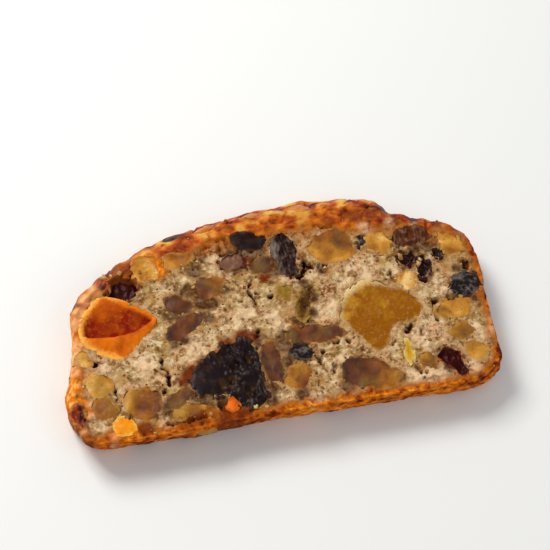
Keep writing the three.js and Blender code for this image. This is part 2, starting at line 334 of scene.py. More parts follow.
def crust_skin(thing):
    """The faces of the wall, found by rays from outside, as a tree to measure from."""
    tree = BVHTree.FromObject(thing, bpy.context.evaluated_depsgraph_get())
    seen = set()
    for turn in range(RAY_TURNS):
        angle = 2 * math.pi * turn / RAY_TURNS
        inward = Vector((-math.cos(angle), -math.sin(angle), 0))
        for share in RAY_HEIGHTS:
            start = Vector((0, 0, share * TOP * MM)) - inward * RAY_START * MM
            hit = tree.ray_cast(start, inward)
            if hit[2] is not None:
                seen.add(hit[2])
    corners = [v.co.copy() for v in thing.data.vertices]
    return BVHTree.FromPolygons(corners, [tuple(thing.data.polygons[i].vertices) for i in seen])


def tree_of(nodes):
    """The faces of several CAD nodes, as one tree to measure from."""
    corners, faces = [], []
    for node in nodes:
        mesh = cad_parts[node].data
        faces += [tuple(i + len(corners) for i in p.vertices) for p in mesh.polygons]
        corners += [v.co.copy() for v in mesh.vertices]
    return BVHTree.FromPolygons(corners, faces)


cake = copy_of("crumb_and_crust", "cake_crumb_and_crust")
skin = crust_skin(cake)
modify(cake, "REMESH", mode="VOXEL", voxel_size=CRUMB_VOXEL * MM, use_smooth_shade=True)
points = places(cake)
outward = directions(cake)
near = [skin.find_nearest(Vector(p) * MM) for p in points]
inward = np.array([n[3] for n in near]) / MM
wall_way = np.array([n[1] for n in near])
print("cake:", len(points), "vertices")

# %% [markdown]
# The dome side bakes in the open, dry and glossy, while the sides in the tin stay matt and
# grainy. The outward direction of the nearest crust says which is which. On the two cut faces
# the crumb gets a soft unevenness, and the crust gets its lumps: broad ones on the dome, where
# nuts push up under the skin, and a fine grain on the sides.

# %% Shape the crumb and the crust
DOME_SWELL = 0.8
DOME_GRAIN = 0.2
CREVICE = 0.6     # depth of the creases between the dome's lumps
TIN_GRAIN = 0.17
TIN_WAVE = 0.34
CRUMB_WAVE = 0.26
CRUMB_GRAIN = 0.24
CRUMB_ROLL = 0.2
CUT_SINK = 0.04   # both cut faces of the crumb lie this far inside the solid's
FADED = 1.2       # a lump or bulge has died away at this many of its radii
CRUST_PIECES = ["walnut_27", "walnut_28", "walnut_29", "raisin_11"]  # in the dome's crust
# lumps under the dome's crust: x, y, radius, and how much lighter or darker each one baked
LUMPS = [(-41.0, 39.6, 3.6, 0.10), (-37.0, 42.4, 2.6, -0.10), (-31.4, 45.2, 3.2, 0.08),
         (-24.6, 47.8, 4.6, 0.02), (-20.6, 49.6, 2.6, 0.14), (-16.4, 50.6, 2.2, -0.12),
         (-9.4, 50.2, 4.2, 0.10), (-4.0, 51.6, 2.4, -0.06), (1.4, 52.0, 4.4, 0.04),
         (9.2, 53.2, 3.0, 0.10), (15.8, 52.4, 4.8, 0.22), (22.4, 52.6, 3.0, -0.06),
         (27.2, 53.4, 3.4, 0.14), (32.4, 52.4, 2.6, -0.14), (35.0, 50.6, 3.0, -0.12),
         (40.2, 46.4, 3.0, -0.15), (45.6, 44.0, 3.0, -0.10), (50.8, 42.2, 3.6, 0.02),
         (55.0, 37.0, 4.0, -0.12)]
# where the loaf bulged in its tin or shrank from it: x, y, radius, and how far, outwards, in mm
BULGES = [(24.0, 53.0, 6.0, 0.7), (29.5, 53.5, 6.0, 0.9), (35.0, 51.5, 6.0, 0.9),
          (41.0, 47.5, 4.0, 0.3), (56.4, 9.0, 6.0, -0.9), (56.8, 15.0, 6.0, -0.7),
          (52.0, 0.0, 4.0, -0.4), (57.0, 30.0, 5.0, -0.4), (56.6, 22.6, 4.0, -0.5),
          (-44.0, 36.5, 5.0, 0.5), (-49.5, 3.0, 4.0, -0.5), (-22.0, -0.8, 5.0, 0.6),
          (18.0, -0.6, 5.0, 0.4), (6.0, -0.6, 4.0, 0.3)]

dome = ease(wall_way[:, 1], 0.15, 0.6)
on_wall = 1 - ease(inward, 0.2, 0.9)
face_up = ease(points[:, 2], TOP - 0.35, TOP - 0.1) * ease(outward[:, 2], 0.3, 0.8)
face_down = ease(-points[:, 2], -0.35, -0.1) * ease(-outward[:, 2], 0.3, 0.8)
cut_face = np.maximum(face_up, face_down)

crumb_move = CRUMB_WAVE * lumps(points, 2.8, seed=1) + CRUMB_GRAIN * lumps(points, 1.1, seed=2)
crumb_move += CRUMB_ROLL * lumps(points, 7.0, seed=9)
filling = tree_of([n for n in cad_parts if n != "crumb_and_crust"])
beside = np.array([filling.find_nearest(Vector(p) * MM)[3] for p in points]) / MM
crumb_move *= 0.3 + 0.7 * ease(beside, 0.3, 1.8)  # held level by the fruit or nut beside it
swell = lumps(points, 5.5, seed=3)
for x, y, radius, _ in LUMPS:
    swell = np.maximum(swell, 0.8 * reach(points, grid(x, y), radius * FADED))
for node in CRUST_PIECES + ["walnut_9"]:
    middle = np.array(sum(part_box(node), Vector()) / 2) / MM
    swell = np.maximum(swell, 1 - ease(np.linalg.norm(points - middle, axis=1), 0.5, 5.5))
crevice = ease(lumps(points, 7.0, seed=31, ridged=True), 0.72, 0.98)
crevice *= ease(lumps(points, 4.5, seed=32), -0.5, 0.1) * (1 - ease(swell, 0.5, 0.9))
dome_move = DOME_SWELL * swell + DOME_GRAIN * lumps(points, 2.2, seed=4) - CREVICE * crevice
tin_move = TIN_GRAIN * lumps(points, 1.4, seed=5) + TIN_WAVE * lumps(points, 5.0, seed=6)
wall_move = dome * dome_move + (1 - dome) * tin_move
for x, y, radius, push in BULGES:
    wall_move += push * reach(points, grid(x, y), radius * FADED)
move = on_wall * wall_move + (1 - on_wall) * (crumb_move - CUT_SINK * cut_face)
points += outward * move[:, None]
put(cake, points)
print("moved by up to", round(float(np.abs(move).max()), 2), "mm")

# %% [markdown]
# The knife drags crumb over the edges of fruit and nuts, so none of them has a clean outline.
# Crumb close to a pocket is pulled over it, here far and there not at all, most at the cut face.
# It is raised a little on the way, so that it lies over the edge of the piece.

# %% Pull crumb over the edges of the pockets
LIP_PULL = 1.0   # mm at most
LIP_REACH = 1.5
LIP_DEEP = 1.2   # how far below the cut face crumb is still dragged
LIP_RISE = 0.06

from_face = np.minimum(np.abs(points[:, 2] - TOP), np.abs(points[:, 2]))
band = np.flatnonzero((from_face < LIP_DEEP) & (inward > 0.8))
ragged = lumps(points[band], 3.0, seed=21) + 0.4 * lumps(points[band], 1.2, seed=22)
pull = LIP_PULL * ease(ragged, -0.7, 1.0)
pull *= 1 - ease(from_face[band], 0.3, LIP_DEEP)
for index, amount in zip(band, pull):
    found = filling.find_nearest(Vector(points[index]) * MM, LIP_REACH * MM)
    if found[0] is None:
        continue
    way = np.array(found[0])[:2] / MM - points[index, :2]
    amount *= 1 - ease(found[3] / MM, 0.3, LIP_REACH)
    points[index, :2] += way / max(np.hypot(*way), 0.2) * amount
    rise = LIP_RISE * (1 + amount) * (1 - ease(found[3] / MM, 0.4, LIP_REACH))
    points[index, 2] += rise if points[index, 2] > TOP / 2 else 0.0
print("pulled", int((pull > 0.1).sum()), "vertices towards the pockets")

# %% [markdown]
# The pores are seeded on the cut faces and pressed in, each one a round dent with its own
# radius. Where a bubble ran long, or the crumb tore beside a nut, the dent is a chain of pores
# along a line. Noise roughens their outlines. How deep each vertex is pressed in is stored, so
# that the material can paint shade into the dents, darker the deeper they go.

# %% Press in pores and tears
PORES = 2200
PORE_SMALL, PORE_LARGE = 0.26, 0.72
TEAR_STEP = 0.25  # from one pore to the next along a tear
# tears in the upper face: the line of each as x and y, its half width and its depth
TEARS = [
    ([(-1.0, 34.6), (-2.3, 32.8), (-2.4, 31.0), (-1.6, 29.6), (-1.3, 28.0)], 0.36, 1.7),
    ([(12.8, 37.2), (13.6, 36.2), (14.2, 35.9)], 0.7, 2.6),
    ([(12.6, 35.4), (11.4, 34.0), (10.2, 32.8)], 0.5, 2.2),
    ([(16.4, 35.8), (17.6, 35.8)], 0.5, 1.6),
    ([(2.2, 30.2), (2.6, 29.2)], 0.75, 2.0),
    ([(-0.8, 30.9), (-0.5, 30.7)], 0.5, 1.4),
    ([(-27.0, 17.6), (-27.2, 15.2), (-26.1, 13.6), (-26.5, 10.4)], 0.4, 2.0),
    ([(43.2, 21.6), (42.0, 21.0)], 1.0, 2.0),
    ([(42.0, 20.6), (41.3, 18.2), (41.6, 15.6)], 0.4, 1.7),
    ([(34.6, 15.9), (34.2, 14.7), (33.0, 14.4)], 0.75, 1.8),
    ([(36.6, 14.0), (36.8, 12.2)], 0.55, 1.6),
    ([(28.4, 11.2), (29.8, 11.9)], 0.4, 1.2),
    ([(18.4, 14.4), (18.9, 14.1)], 0.5, 1.4),
    ([(8.8, 21.8), (9.8, 21.3)], 0.75, 1.8),
    ([(10.0, 10.8), (10.2, 9.6)], 0.6, 1.6),
    ([(8.9, 7.4), (8.4, 3.6)], 0.32, 1.3),
    ([(6.2, 9.4), (6.4, 9.0)], 0.6, 1.6),
    ([(-43.6, 19.6), (-42.8, 18.6)], 0.6, 1.6),
    ([(-39.9, 13.6), (-39.2, 10.4), (-39.4, 6.4)], 0.36, 1.8),
    ([(53.2, 30.0), (52.8, 29.0)], 0.8, 1.8),
    ([(19.4, 47.0), (20.9, 46.0)], 0.5, 1.6),
    ([(-29.0, 0.6), (-24.0, 0.6), (-19.6, 0.8)], 0.34, 1.6),
    ([(-16.2, 3.4), (-15.2, 1.6)], 0.6, 1.6),
    ([(-28.4, 9.4), (-27.6, 8.8)], 0.55, 1.4),
    ([(13.4, 8.2), (12.9, 6.4)], 0.5, 1.5),
    ([(15.0, 14.8), (15.6, 13.8)], 0.5, 1.4),
    ([(33.0, 4.6), (33.7, 2.8), (35.2, 2.4)], 0.42, 1.4),
    ([(33.4, 30.8), (33.6, 29.2)], 0.55, 1.5),
    ([(-36.6, 37.6), (-35.4, 35.0), (-32.0, 34.0)], 0.7, 1.6),
    ([(36.4, 34.2), (38.6, 31.8)], 0.7, 1.8),
    ([(40.6, 28.0), (41.8, 26.8)], 0.7, 1.6),
    ([(46.2, 33.6), (46.6, 34.2)], 0.8, 1.6),
    ([(-2.6, 20.8), (-3.4, 18.8)], 0.55, 1.4),
    ([(-21.6, 20.6), (-22.4, 22.2)], 0.45, 1.2),
    ([(27.2, 39.4), (27.8, 38.4)], 0.4, 1.2),
    ([(46.0, 8.4), (46.3, 7.6)], 0.5, 1.3),
    ([(11.2, 12.8), (11.6, 12.4)], 0.6, 1.3),
    ([(-14.8, 39.6), (-14.2, 42.1), (-12.7, 44.1), (-10.7, 45.2), (-8.9, 45.5)], 0.34, 0.9),
    ([(-7.3, 46.8), (-5.4, 47.4), (-5.0, 46.0), (-5.2, 44.2)], 0.36, 1.1),
    ([(-6.6, 44.5), (-6.8, 42.6)], 0.6, 1.3),
    ([(20.6, 46.2), (22.0, 46.0), (23.3, 45.1)], 0.4, 1.5),
    ([(14.7, 45.7), (15.4, 43.5), (17.0, 43.0)], 0.3, 1.0),
]


def pore_list():
    """Centre, radius and depth of every dent, in the part's frame, over both cut faces."""
    draw = random.Random(11)
    found = []
    for number in range(PORES):
        level = TOP if number % 3 else 0.0
        size = PORE_SMALL + (PORE_LARGE - PORE_SMALL) * draw.random() ** 4
        spot = (draw.uniform(SLICE_LOW[0], SLICE_HIGH[0]), draw.uniform(SLICE_LOW[1], SLICE_HIGH[1]))
        found.append((Vector((*spot, level)), size, size * draw.uniform(0.7, 1.2)))
    for line, width, depth in TEARS:
        for (x0, y0), (x1, y1) in zip(line, line[1:]):
            steps = max(2, round(math.hypot(x1 - x0, y1 - y0) / TEAR_STEP))
            for step in range(steps + 1):
                x = x0 + (x1 - x0) * step / steps + width * draw.uniform(-0.5, 0.5) + SHIFT[0]
                y = y0 + (y1 - y0) * step / steps + width * draw.uniform(-0.5, 0.5) + SHIFT[1]
                size = width * draw.uniform(0.5, 1.3)
                found.append((Vector((x, y, TOP)), size, depth * draw.uniform(0.5, 1.1)))
    return found


def press_pores(points, cut, dents):
    """Lowers the cut faces at each dent, and gives how deep each vertex went."""
    finder = kdtree.KDTree(len(cut))
    for slot, index in enumerate(cut):
        finder.insert(points[index], slot)
    finder.balance()
    depth = np.zeros(len(cut))
    ragged = 1 + 0.5 * lumps(points[cut], 0.8, seed=23)
    for centre, radius, deep in dents:
        for _, slot, far in finder.find_range(centre, radius * 1.5):
            far *= ragged[slot] / (radius * 1.2)
            depth[slot] = max(depth[slot], deep * max(0.0, 1 - far ** 2))
    return depth


cut = np.flatnonzero((cut_face > 0.2) & (inward > 0.7))
depth = press_pores(points, cut, pore_list())
sink = np.where(points[cut, 2] > TOP / 2, -1.0, 1.0) * depth
points[cut, 2] += sink
# depth of each dent, which the material turns into painted shade
pit = np.zeros(len(points))
pit[cut] = depth
print("pressed", int((depth > 0.1).sum()), "vertices in, deepest", round(float(depth.max()), 2), "mm")

# %% [markdown]
# No slice is one colour. Nuts oil the crumb ochre, batter with little fruit stays pale, juice
# that boiled out turned rusty at the crust and umber inside, and broken nuts fleck it. The crust
# is thick in some places and painted darker, as shade, in the creases between its lumps. It is
# lighter and pinker where it baked only lightly, and painted lighter as highlight on the left
# shoulder and wall, which face the window. Noise alone would put these anywhere, so each kind is
# a list of soft round places.

# %% Where the crumb and the crust change colour
# x, y and radius of each place, in millimetres; a crease has no radius of its own
OCHRE = [(-3.4, 36.4, 3.2), (-16.4, 33.6, 3.0), (-16.0, 42.4, 4.0), (-8.0, 19.8, 4.2),
         (-2.4, 20.4, 2.2), (-22.8, 13.4, 3.4), (-38.6, 17.6, 2.4), (-37.2, 13.6, 3.0),
         (5.8, 23.4, 3.6), (29.4, 6.2, 2.2), (37.0, 35.4, 3.0), (-29.6, 7.8, 2.6), (-45.0, -0.4, 3.0),
         (-33.0, 2.4, 4.0), (13.0, 43.0, 3.0), (48.0, 30.0, 4.6), (51.0, 33.0, 4.6), (-17.0, 2.6, 3.2),
         (31.7, 34.2, 2.2), (-26.0, 33.6, 3.0), (-12.6, 24.6, 2.6), (8.8, 5.0, 3.0), (18.4, 34.0, 2.8),
         (-1.1, 32.9, 2.4), (-26.1, 14.4, 2.4), (-44.9, 14.6, 2.2)]
PALE = [(-9.3, 41.6, 2.6), (-4.0, 26.0, 3.4), (1.2, 24.3, 3.0), (-8.8, 22.6, 2.4), (-17.6, 19.6, 3.6),
        (27.2, 30.8, 2.6), (16.6, 24.4, 2.6), (34.4, 32.0, 2.2), (44.1, 26.0, 2.6), (36.5, 12.6, 3.0),
        (28.9, 15.0, 2.2), (-30.5, 17.0, 3.6), (-40.4, 17.5, 2.4), (-44.1, 2.6, 2.0), (7.8, 0.9, 2.4),
        (32.1, 1.8, 2.6), (35.6, 1.2, 3.0), (46.6, 1.4, 3.0), (-46.4, 22.4, 4.0), (50.4, 12.0, 2.4),
        (3.0, 21.0, 2.4), (23.6, 33.4, 2.0), (16.4, 9.8, 2.4), (40.2, 28.8, 2.6), (-45.8, 5.4, 1.8),
        (30.0, 44.6, 2.4), (18.2, 43.4, 3.0), (37.2, 8.8, 2.2), (45.6, 23.6, 2.4), (-4.4, 21.6, 1.6),
        (38.2, 0.8, 2.0), (13.0, 8.6, 2.2), (-29.9, 0.4, 1.8), (36.8, 44.6, 2.0), (42.6, 43.0, 1.8)]
RUSTY = [(-6.8, 19.6, 2.0), (-4.2, 19.2, 1.5), (-11.0, 18.8, 2.0), (-14.0, 16.0, 1.3),
         (-17.6, 14.8, 1.8), (-20.6, 12.8, 1.9), (-22.8, 10.8, 1.8), (-1.2, 39.6, 1.6),
         (2.4, 35.0, 1.6), (-28.6, 43.4, 2.6), (-26.0, 42.2, 1.8), (-11.9, 0.7, 2.4), (-14.4, 0.0, 2.4),
         (-14.8, 50.9, 1.8), (21.8, 48.1, 1.8), (49.4, 43.0, 1.6), (-9.4, 1.0, 1.8), (-16.6, -0.6, 2.2),
         (-21.5, 0.5, 2.4), (-34.4, 43.6, 2.4), (-31.6, 42.6, 1.6), (-24.6, 0.0, 2.2),
         (-34.2, 0.4, 2.0), (28.6, 48.3, 2.2), (-14.1, 1.8, 1.6), (-48.0, -0.2, 2.0), (-49.6, 4.2, 1.8),
         (32.8, 47.6, 1.7)]
UMBER = [(2.4, 15.8, 2.2), (-2.6, 18.1, 2.2), (3.4, 18.3, 1.8), (-18.8, 5.6, 2.2), (-20.8, 6.2, 1.9),
         (-18.9, 3.4, 2.0), (-3.4, 4.7, 2.2), (-3.8, 2.2, 2.0), (-3.7, 7.2, 1.8), (0.1, 41.6, 2.4),
         (2.4, 41.6, 2.0), (-2.3, 42.2, 2.0), (-4.1, 44.2, 2.0), (5.3, 38.6, 1.8), (4.9, 36.1, 2.0),
         (-14.6, 30.8, 2.2), (-12.2, 30.2, 2.0), (-17.2, 34.2, 2.2), (-14.4, 39.4, 2.0),
         (-22.6, 28.9, 2.2), (52.8, 20.1, 1.8), (44.5, 36.1, 2.0), (-21.4, 12.3, 1.8), (4.1, 2.5, 1.8),
         (15.3, 2.2, 2.0), (-13.6, 26.4, 1.6), (-6.4, 19.8, 1.6), (46.4, 21.0, 1.6), (-41.8, 10.2, 1.6),
         (-15.1, 3.9, 1.7), (-20.5, 21.4, 1.5), (-8.6, 33.1, 1.4), (2.2, 11.2, 1.8), (7.4, 22.1, 1.5),
         (50.3, 28.9, 1.5), (28.2, 2.4, 1.6), (22.0, 1.0, 1.8), (9.2, 21.2, 2.2), (-4.4, 39.1, 1.8),
         (46.2, 37.5, 1.8), (-11.7, 43.1, 1.6), (-14.8, 33.0, 1.6), (-1.2, 41.8, 2.2),
         (-1.4, 39.0, 1.8), (12.8, 27.2, 1.6), (11.4, 31.4, 1.4), (41.2, 36.2, 1.8), (11.8, 23.2, 1.4),
         (-28.5, 3.9, 1.5), (40.9, 2.8, 1.5), (16.7, 34.4, 1.5), (42.8, 28.4, 1.3), (-23.1, 20.5, 1.2)]
# lighter, pinker crust: partly lightly baked, partly painted highlight on the left shoulder and wall
BLUSH_AND_HIGHLIGHT = [(-44.4, 33.4, 3.0), (-42.2, 36.2, 3.0), (-39.4, 38.6, 2.6), (-45.6, 30.6, 3.4),
         (-47.0, 25.4, 3.0), (-48.4, 20.2, 3.4), (-47.4, 17.6, 1.6), (-45.6, 8.8, 1.8),
         (57.0, 23.0, 3.0), (54.6, 38.6, 3.0), (55.6, 13.4, 3.0), (54.2, 10.8, 2.2), (-41.8, -0.6, 1.8),
         (-48.4, 2.2, 1.6)]
THICK = [(-42.0, 0.6, 3.0), (-36.4, 0.8, 3.6), (-30.0, 0.2, 2.6), (-24.6, 0.4, 3.0), (-18.0, 0.0, 4.0),
         (-12.4, 0.6, 3.6), (-49.6, 8.0, 3.4), (-49.0, 14.0, 3.0), (56.0, 5.0, 3.6), (22.0, -0.6, 3.0)]
CREASES = [(-34.8, 42.6), (-20.6, 48.8), (-13.2, 49.6), (-6.0, 50.6), (-2.6, 50.4), (5.4, 50.4),
           (7.8, 50.6), (11.8, 51.6), (19.6, 50.4), (25.0, 50.0), (27.4, 50.4), (30.0, 50.6),
           (33.0, 49.2), (36.6, 47.4), (38.4, 46.8), (43.0, 43.8), (48.2, 42.6)]
FLECKED = [(15.6, 44.8, 3.0), (16.4, 28.6, 3.4), (20.6, 1.0, 4.2), (21.4, 9.9, 3.0), (12.0, 29.2, 2.2),
           (35.6, 37.0, 2.4), (-9.0, 44.0, 3.6), (-13.6, 43.0, 3.0), (6.6, 10.0, 3.0),
           (43.0, 42.0, 3.4), (-18.0, 21.6, 2.6), (2.6, 35.0, 2.4)]
print(sum(len(p) for p in (OCHRE, PALE, RUSTY, UMBER, BLUSH_AND_HIGHLIGHT, THICK, CREASES, FLECKED)), "places")

# %% [markdown]
# Dark fruit stains the crumb next to it while the cake bakes, and nuts oil it, so the distance
# from each crumb vertex to the nearest of them is measured. These distances and the places above
# are stored on the vertices for the material. Faces deep in the pockets are never seen, so a
# Decimate that only acts there brings the mesh under its limit.

# %% Stain, trim and store
STAINING = ("prune", "date", "fig", "raisin")
OILING = ("walnut", "apricot", "sultana", "peel")
CREASE_RADIUS = 1.5
THICKER = 1.6       # how much further in the crust reaches where it is thick, in mm
LOWER_EDGE_LIGHT = 0.16   # painted light: how much lighter the dome's crust is towards the lower cut edge, by the table
KEPT_FACES = 0.40
UNDERSIDE = 0.35    # how readily the underside gives up faces, beside those never seen
PATCH_FADED = 1.3   # a patch of colour has faded away at this many of its radii
STAIN_FADED = 1.45  # and so has a stain, which is even in the middle


def distance_to(nodes, points):
    """How far each point is from the nearest of these CAD nodes, in millimetres."""
    tree = tree_of(nodes)
    return np.array([tree.find_nearest(Vector(p) * MM)[3] for p in points]) / MM


def shades(points, table):
    """The sum of several soft round patches, each with its own strength."""
    found = np.zeros(len(points))
    for x, y, radius, strength in table:
        found += strength * reach(points, grid(x, y), radius * PATCH_FADED)
    return found


def stains(points, table):
    """Round stains that are even in the middle and fade at their edge."""
    wide = [(x, y, radius * STAIN_FADED) for x, y, radius in table]
    return np.minimum(1, 1.8 * spots(points, wide))


def nodes_of(kinds):
    """The CAD nodes of these kinds."""
    return [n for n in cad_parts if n.split("_")[0] in kinds]


points[:, 2] = np.maximum(points[:, 2], 0.0)
put(cake, points)
# painted shade: the dome's crust is darker along these creases
creases = spots(points, [(x, y, CREASE_RADIUS) for x, y in CREASES])
creases *= 1 + 0.6 * lumps(points, 1.0, seed=33)
# painted light, against the shade near the table; only the dome's crust reads it
painted_lower_light = LOWER_EDGE_LIGHT * (1 - ease(points[:, 2], 0.5, 5.0))
cake_marks = {
    "inward": inward - THICKER * spots(points, THICK),
    "dome": dome,
    "side": points[:, 0],
    "swell": swell,
    "crevice": crevice,
    # browning holds the lumps' own tone, painted shade in the creases and painted light by the table
    "browning": 1.5 * shades(points, LUMPS) - 0.4 * creases + painted_lower_light,
    "pit": pit,
    "stain": 1 - ease(distance_to(nodes_of(STAINING), points), 0.2, 1.9),
    "oil": 1 - ease(distance_to(nodes_of(OILING), points), 0.1, 2.0),
    "ochre": spots(points, OCHRE),
    "flecked": spots(points, FLECKED),
    "pale": spots(points, PALE),
    "rusty": stains(points, RUSTY),
    "umber": stains(points, UMBER),
    "blush": spots(points, BLUSH_AND_HIGHLIGHT),
}
for name, values in cake_marks.items():
    mark(cake, name, values)
hidden = (1 - cut_face) * ease(inward, 0.8, 1.4)
weigh(cake, "unseen", np.maximum(hidden, face_down * UNDERSIDE))
modify(cake, "DECIMATE", ratio=KEPT_FACES, vertex_group="unseen", vertex_group_factor=8)
cake.vertex_groups.clear()
print("cake:", triangles(cake), "triangles")

# %% [markdown]
# ## Fruit and nuts
# Every filling starts the same way. Its CAD solid has clear space round it, which would show as
# a black ring, so the copy is fattened until it beds into the crumb, and then cut off again at
# the two cut faces, as the knife did. A voxel remesh gives it even faces, smoothing rounds its
# rim, and lumps break its outline. Each kind then gets a surface of its own.

# %% Bed one piece in its pocket
BED_SWELL = 0.75
NUT_SWELL = 0.95    # nuts crowd each other and their bed
NUT_VOXEL, FRUIT_VOXEL, APRICOT_VOXEL = 0.25, 0.22, 0.24
LEVEL = 0.04        # prunes and apricots stand this little out of the cut face
SKIN_NEAR = 7       # how much of the crust round a piece in it tells which way is out
RIM_DROP = 0.08     # how far the rim of a cut face bends down, under the crumb pulled over it
TOUCHING = 0.05     # a piece this close to a cut face was cut through there
TABLE_GAP = 0.02    # and its lower face lies this far above the table
CRUST_PRESS = 0.45  # share of its height that a piece keeps where it stands out of the crust


def side_tree(thing):
    """The steep faces of a mesh, as a tree to measure the distance from its outline."""
    corners = [v.co.copy() for v in thing.data.vertices]
    sides = [tuple(p.vertices) for p in thing.data.polygons if abs(p.normal.z) < 0.8]
    return BVHTree.FromPolygons(corners, sides)


def bedded(node, proud=0.0, rounds=3, ragged=0.25, voxel=FRUIT_VOXEL, swell=BED_SWELL):
    """A fattened copy of the node, cut flush at both cut faces, as even small faces."""
    low, high = (np.array(c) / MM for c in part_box(node))
    made = copy_of(node, "baked_" + node)
    bpy.ops.object.mode_set(mode="EDIT")
    bpy.ops.mesh.select_all(action="SELECT")
    bpy.ops.transform.shrink_fatten(value=swell * MM)
    if high[2] > TOP - TOUCHING:
        bpy.ops.mesh.select_all(action="SELECT")
        bpy.ops.mesh.bisect(plane_co=(0, 0, (TOP + proud) * MM), plane_no=(0, 0, 1),
                            use_fill=True, clear_outer=True)
    if low[2] < TOUCHING:
        bpy.ops.mesh.select_all(action="SELECT")
        bpy.ops.mesh.bisect(plane_co=(0, 0, TABLE_GAP * MM), plane_no=(0, 0, -1),
                            use_fill=True, clear_outer=True)
    bpy.ops.object.mode_set(mode="OBJECT")
    walls = side_tree(made)
    modify(made, "REMESH", mode="VOXEL", voxel_size=voxel * MM, use_smooth_shade=True)
    modify(made, "SMOOTH", factor=0.5, iterations=rounds)
    points = places(made)
    outward = directions(made)
    flat = np.hypot(outward[:, 0], outward[:, 1])
    push = ragged * lumps(points, 2.2, seed=7) + 0.6 * ragged * lumps(points, 0.9, seed=8)
    points += outward * (push * flat)[:, None]
    points[:, 2] = np.maximum(points[:, 2], 0.0)
    put(made, points)
    rim = np.array([walls.find_nearest(Vector(p) * MM)[3] for p in points]) / MM
    bent = RIM_DROP * (1 - ease(rim, 0.2, 1.4))
    points[:, 2] -= bent * ease(points[:, 2], TOP - 1.2, TOP - 0.2)
    points[:, 2] += bent * (1 - ease(points[:, 2], 0.2, 1.2))
    put(made, points)
    return made, points, rim


def open_face(points):
    """1 on the two cut faces, falling to 0 below them."""
    return np.maximum(ease(points[:, 2], TOP - 1.2, TOP - 0.3), 1 - ease(points[:, 2], 0.3, 1.2))


def pressed_in(node, points):
    """A piece in the crust, flattened where it stands out of the skin."""
    middle = np.array(sum(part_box(node), Vector()) / 2) / MM
    close = np.linalg.norm(cake_skin[0] - middle, axis=1) < SKIN_NEAR
    way = cake_skin[1][close].mean(0)
    way /= np.linalg.norm(way)
    beyond = np.maximum((points - middle) @ way, 0)
    return points - np.outer(beyond * (1 - CRUST_PRESS), way)


cake_skin = (places(cake), directions(cake))
on_skin = np.array([skin.find_nearest(Vector(p) * MM)[3] for p in cake_skin[0]]) / MM < 0.5
on_skin &= (cake_skin[0][:, 2] > 1) & (cake_skin[0][:, 2] < TOP - 1)
cake_skin = (cake_skin[0][on_skin], cake_skin[1][on_skin])
pieces = {}


def keep(thing, points, outward_push=None):
    """Writes the shaped vertices back, moved along their outward directions if asked."""
    if outward_push is not None:
        points = points + directions(thing) * outward_push[:, None]
    points[:, 2] = np.maximum(points[:, 2], 0.0)
    put(thing, points)
    pieces[thing.name.replace("baked_", "")] = thing
    return points


print("skin that pieces are pressed into:", len(cake_skin[0]), "vertices")

# %% [markdown]
# ### Walnuts
# A walnut kernel is oily and pale inside, with a thin brown to mauve skin that follows its
# folds. Cut through, it shows a smooth waxy face that shades from one to the other. Each kernel
# gets two tones, from 0 for cream to 1 for dark mauve, and the direction in which the first
# turns into the second. The large kernels also get the bruises and pale places they show.

# %% Walnut kernels
# tone at one side, tone at the other, and the direction from the first to the second, degrees
WALNUTS = {
    1: (1.05, 0.62, -20), 2: (0.40, 0.60, 60), 3: (0.86, 0.76, 0), 4: (0.92, 1.02, -80),
    5: (0.46, 0.76, -30), 6: (1.0, 0.90, 30), 7: (0.80, 0.66, -40), 8: (1.2, 1.1, 10),
    9: (0.34, 0.10, -60), 10: (0.38, 0.44, 0), 11: (0.80, 0.90, -60), 12: (0.24, 0.34, -60),
    13: (0.16, 0.40, -60), 14: (0.44, 0.34, -30), 15: (0.30, 0.56, -60), 16: (0.54, 0.60, 0),
    17: (0.40, 0.24, -60), 18: (0.44, 0.68, -60), 19: (0.16, 0.28, 0), 20: (0.48, 0.66, -40),
    21: (0.90, 0.76, 20), 22: (0.42, 0.52, 0), 23: (0.16, 0.20, 0), 24: (0.0, 0.12, 0),
    25: (0.50, 0.70, 30), 26: (0.60, 0.40, 10), 27: (0.22, 0.36, 0), 28: (0.40, 0.56, 0),
    29: (0.34, 0.56, 0), 30: (0.34, 0.46, 0),
}
SMALL_NUTS = (24,)   # no crumb is smeared over this one, so it is fattened less
FIRST_BURIED = 25    # from here on the kernels lie in the lower face or the crust
FIRST_IN_CRUST = 27
# places on some kernels with a tone of their own: x, y, radius and tone
KERNEL_MARKS = {
    1: [(18.4, 2.4, 3.4, 0.86), (25.6, 3.0, 3.4, 0.50), (19.6, 8.0, 3.0, 1.2)],
    2: [(22.8, 41.6, 2.4, 0.92), (24.0, 43.4, 2.8, 0.70), (16.6, 40.0, 3.4, 0.38)],
    3: [(7.2, 18.4, 2.6, 0.72), (13.4, 17.0, 2.0, 0.92)],
    4: [(-1.6, 16.6, 2.8, 0.76), (-2.0, 8.4, 2.0, 1.1)],
    5: [(-37.0, 7.0, 2.4, 0.22), (-33.4, 7.4, 3.6, 0.76), (-33.0, 10.6, 2.0, 0.42),
        (-33.6, 2.8, 2.4, 0.50)],
    6: [(-23.4, 23.2, 2.2, 1.1), (-16.4, 26.8, 2.4, 0.70)],
    7: [(-14.4, 31.8, 2.4, 0.88)],
    9: [(-28.8, 43.4, 2.0, 0.46), (-25.0, 46.0, 2.6, 0.36), (-27.0, 40.2, 1.8, 0.46)],
    18: [(5.2, 4.2, 2.0, 0.84), (3.2, 9.2, 2.4, 0.42)],
    19: [(-45.2, 15.0, 1.5, 0.38)],
    23: [(-43.4, 20.3, 1.2, 0.5)],
    24: [(35.8, 29.4, 1.6, 0.36)],
}


def tone_across(points, first, second, heading):
    """A tone for each vertex, from the first to the second across the piece."""
    way = np.array([math.cos(math.radians(heading)), math.sin(math.radians(heading))])
    along = points[:, :2] @ way
    share = ease(along, np.percentile(along, 20), np.percentile(along, 80))
    return first + (second - first) * share


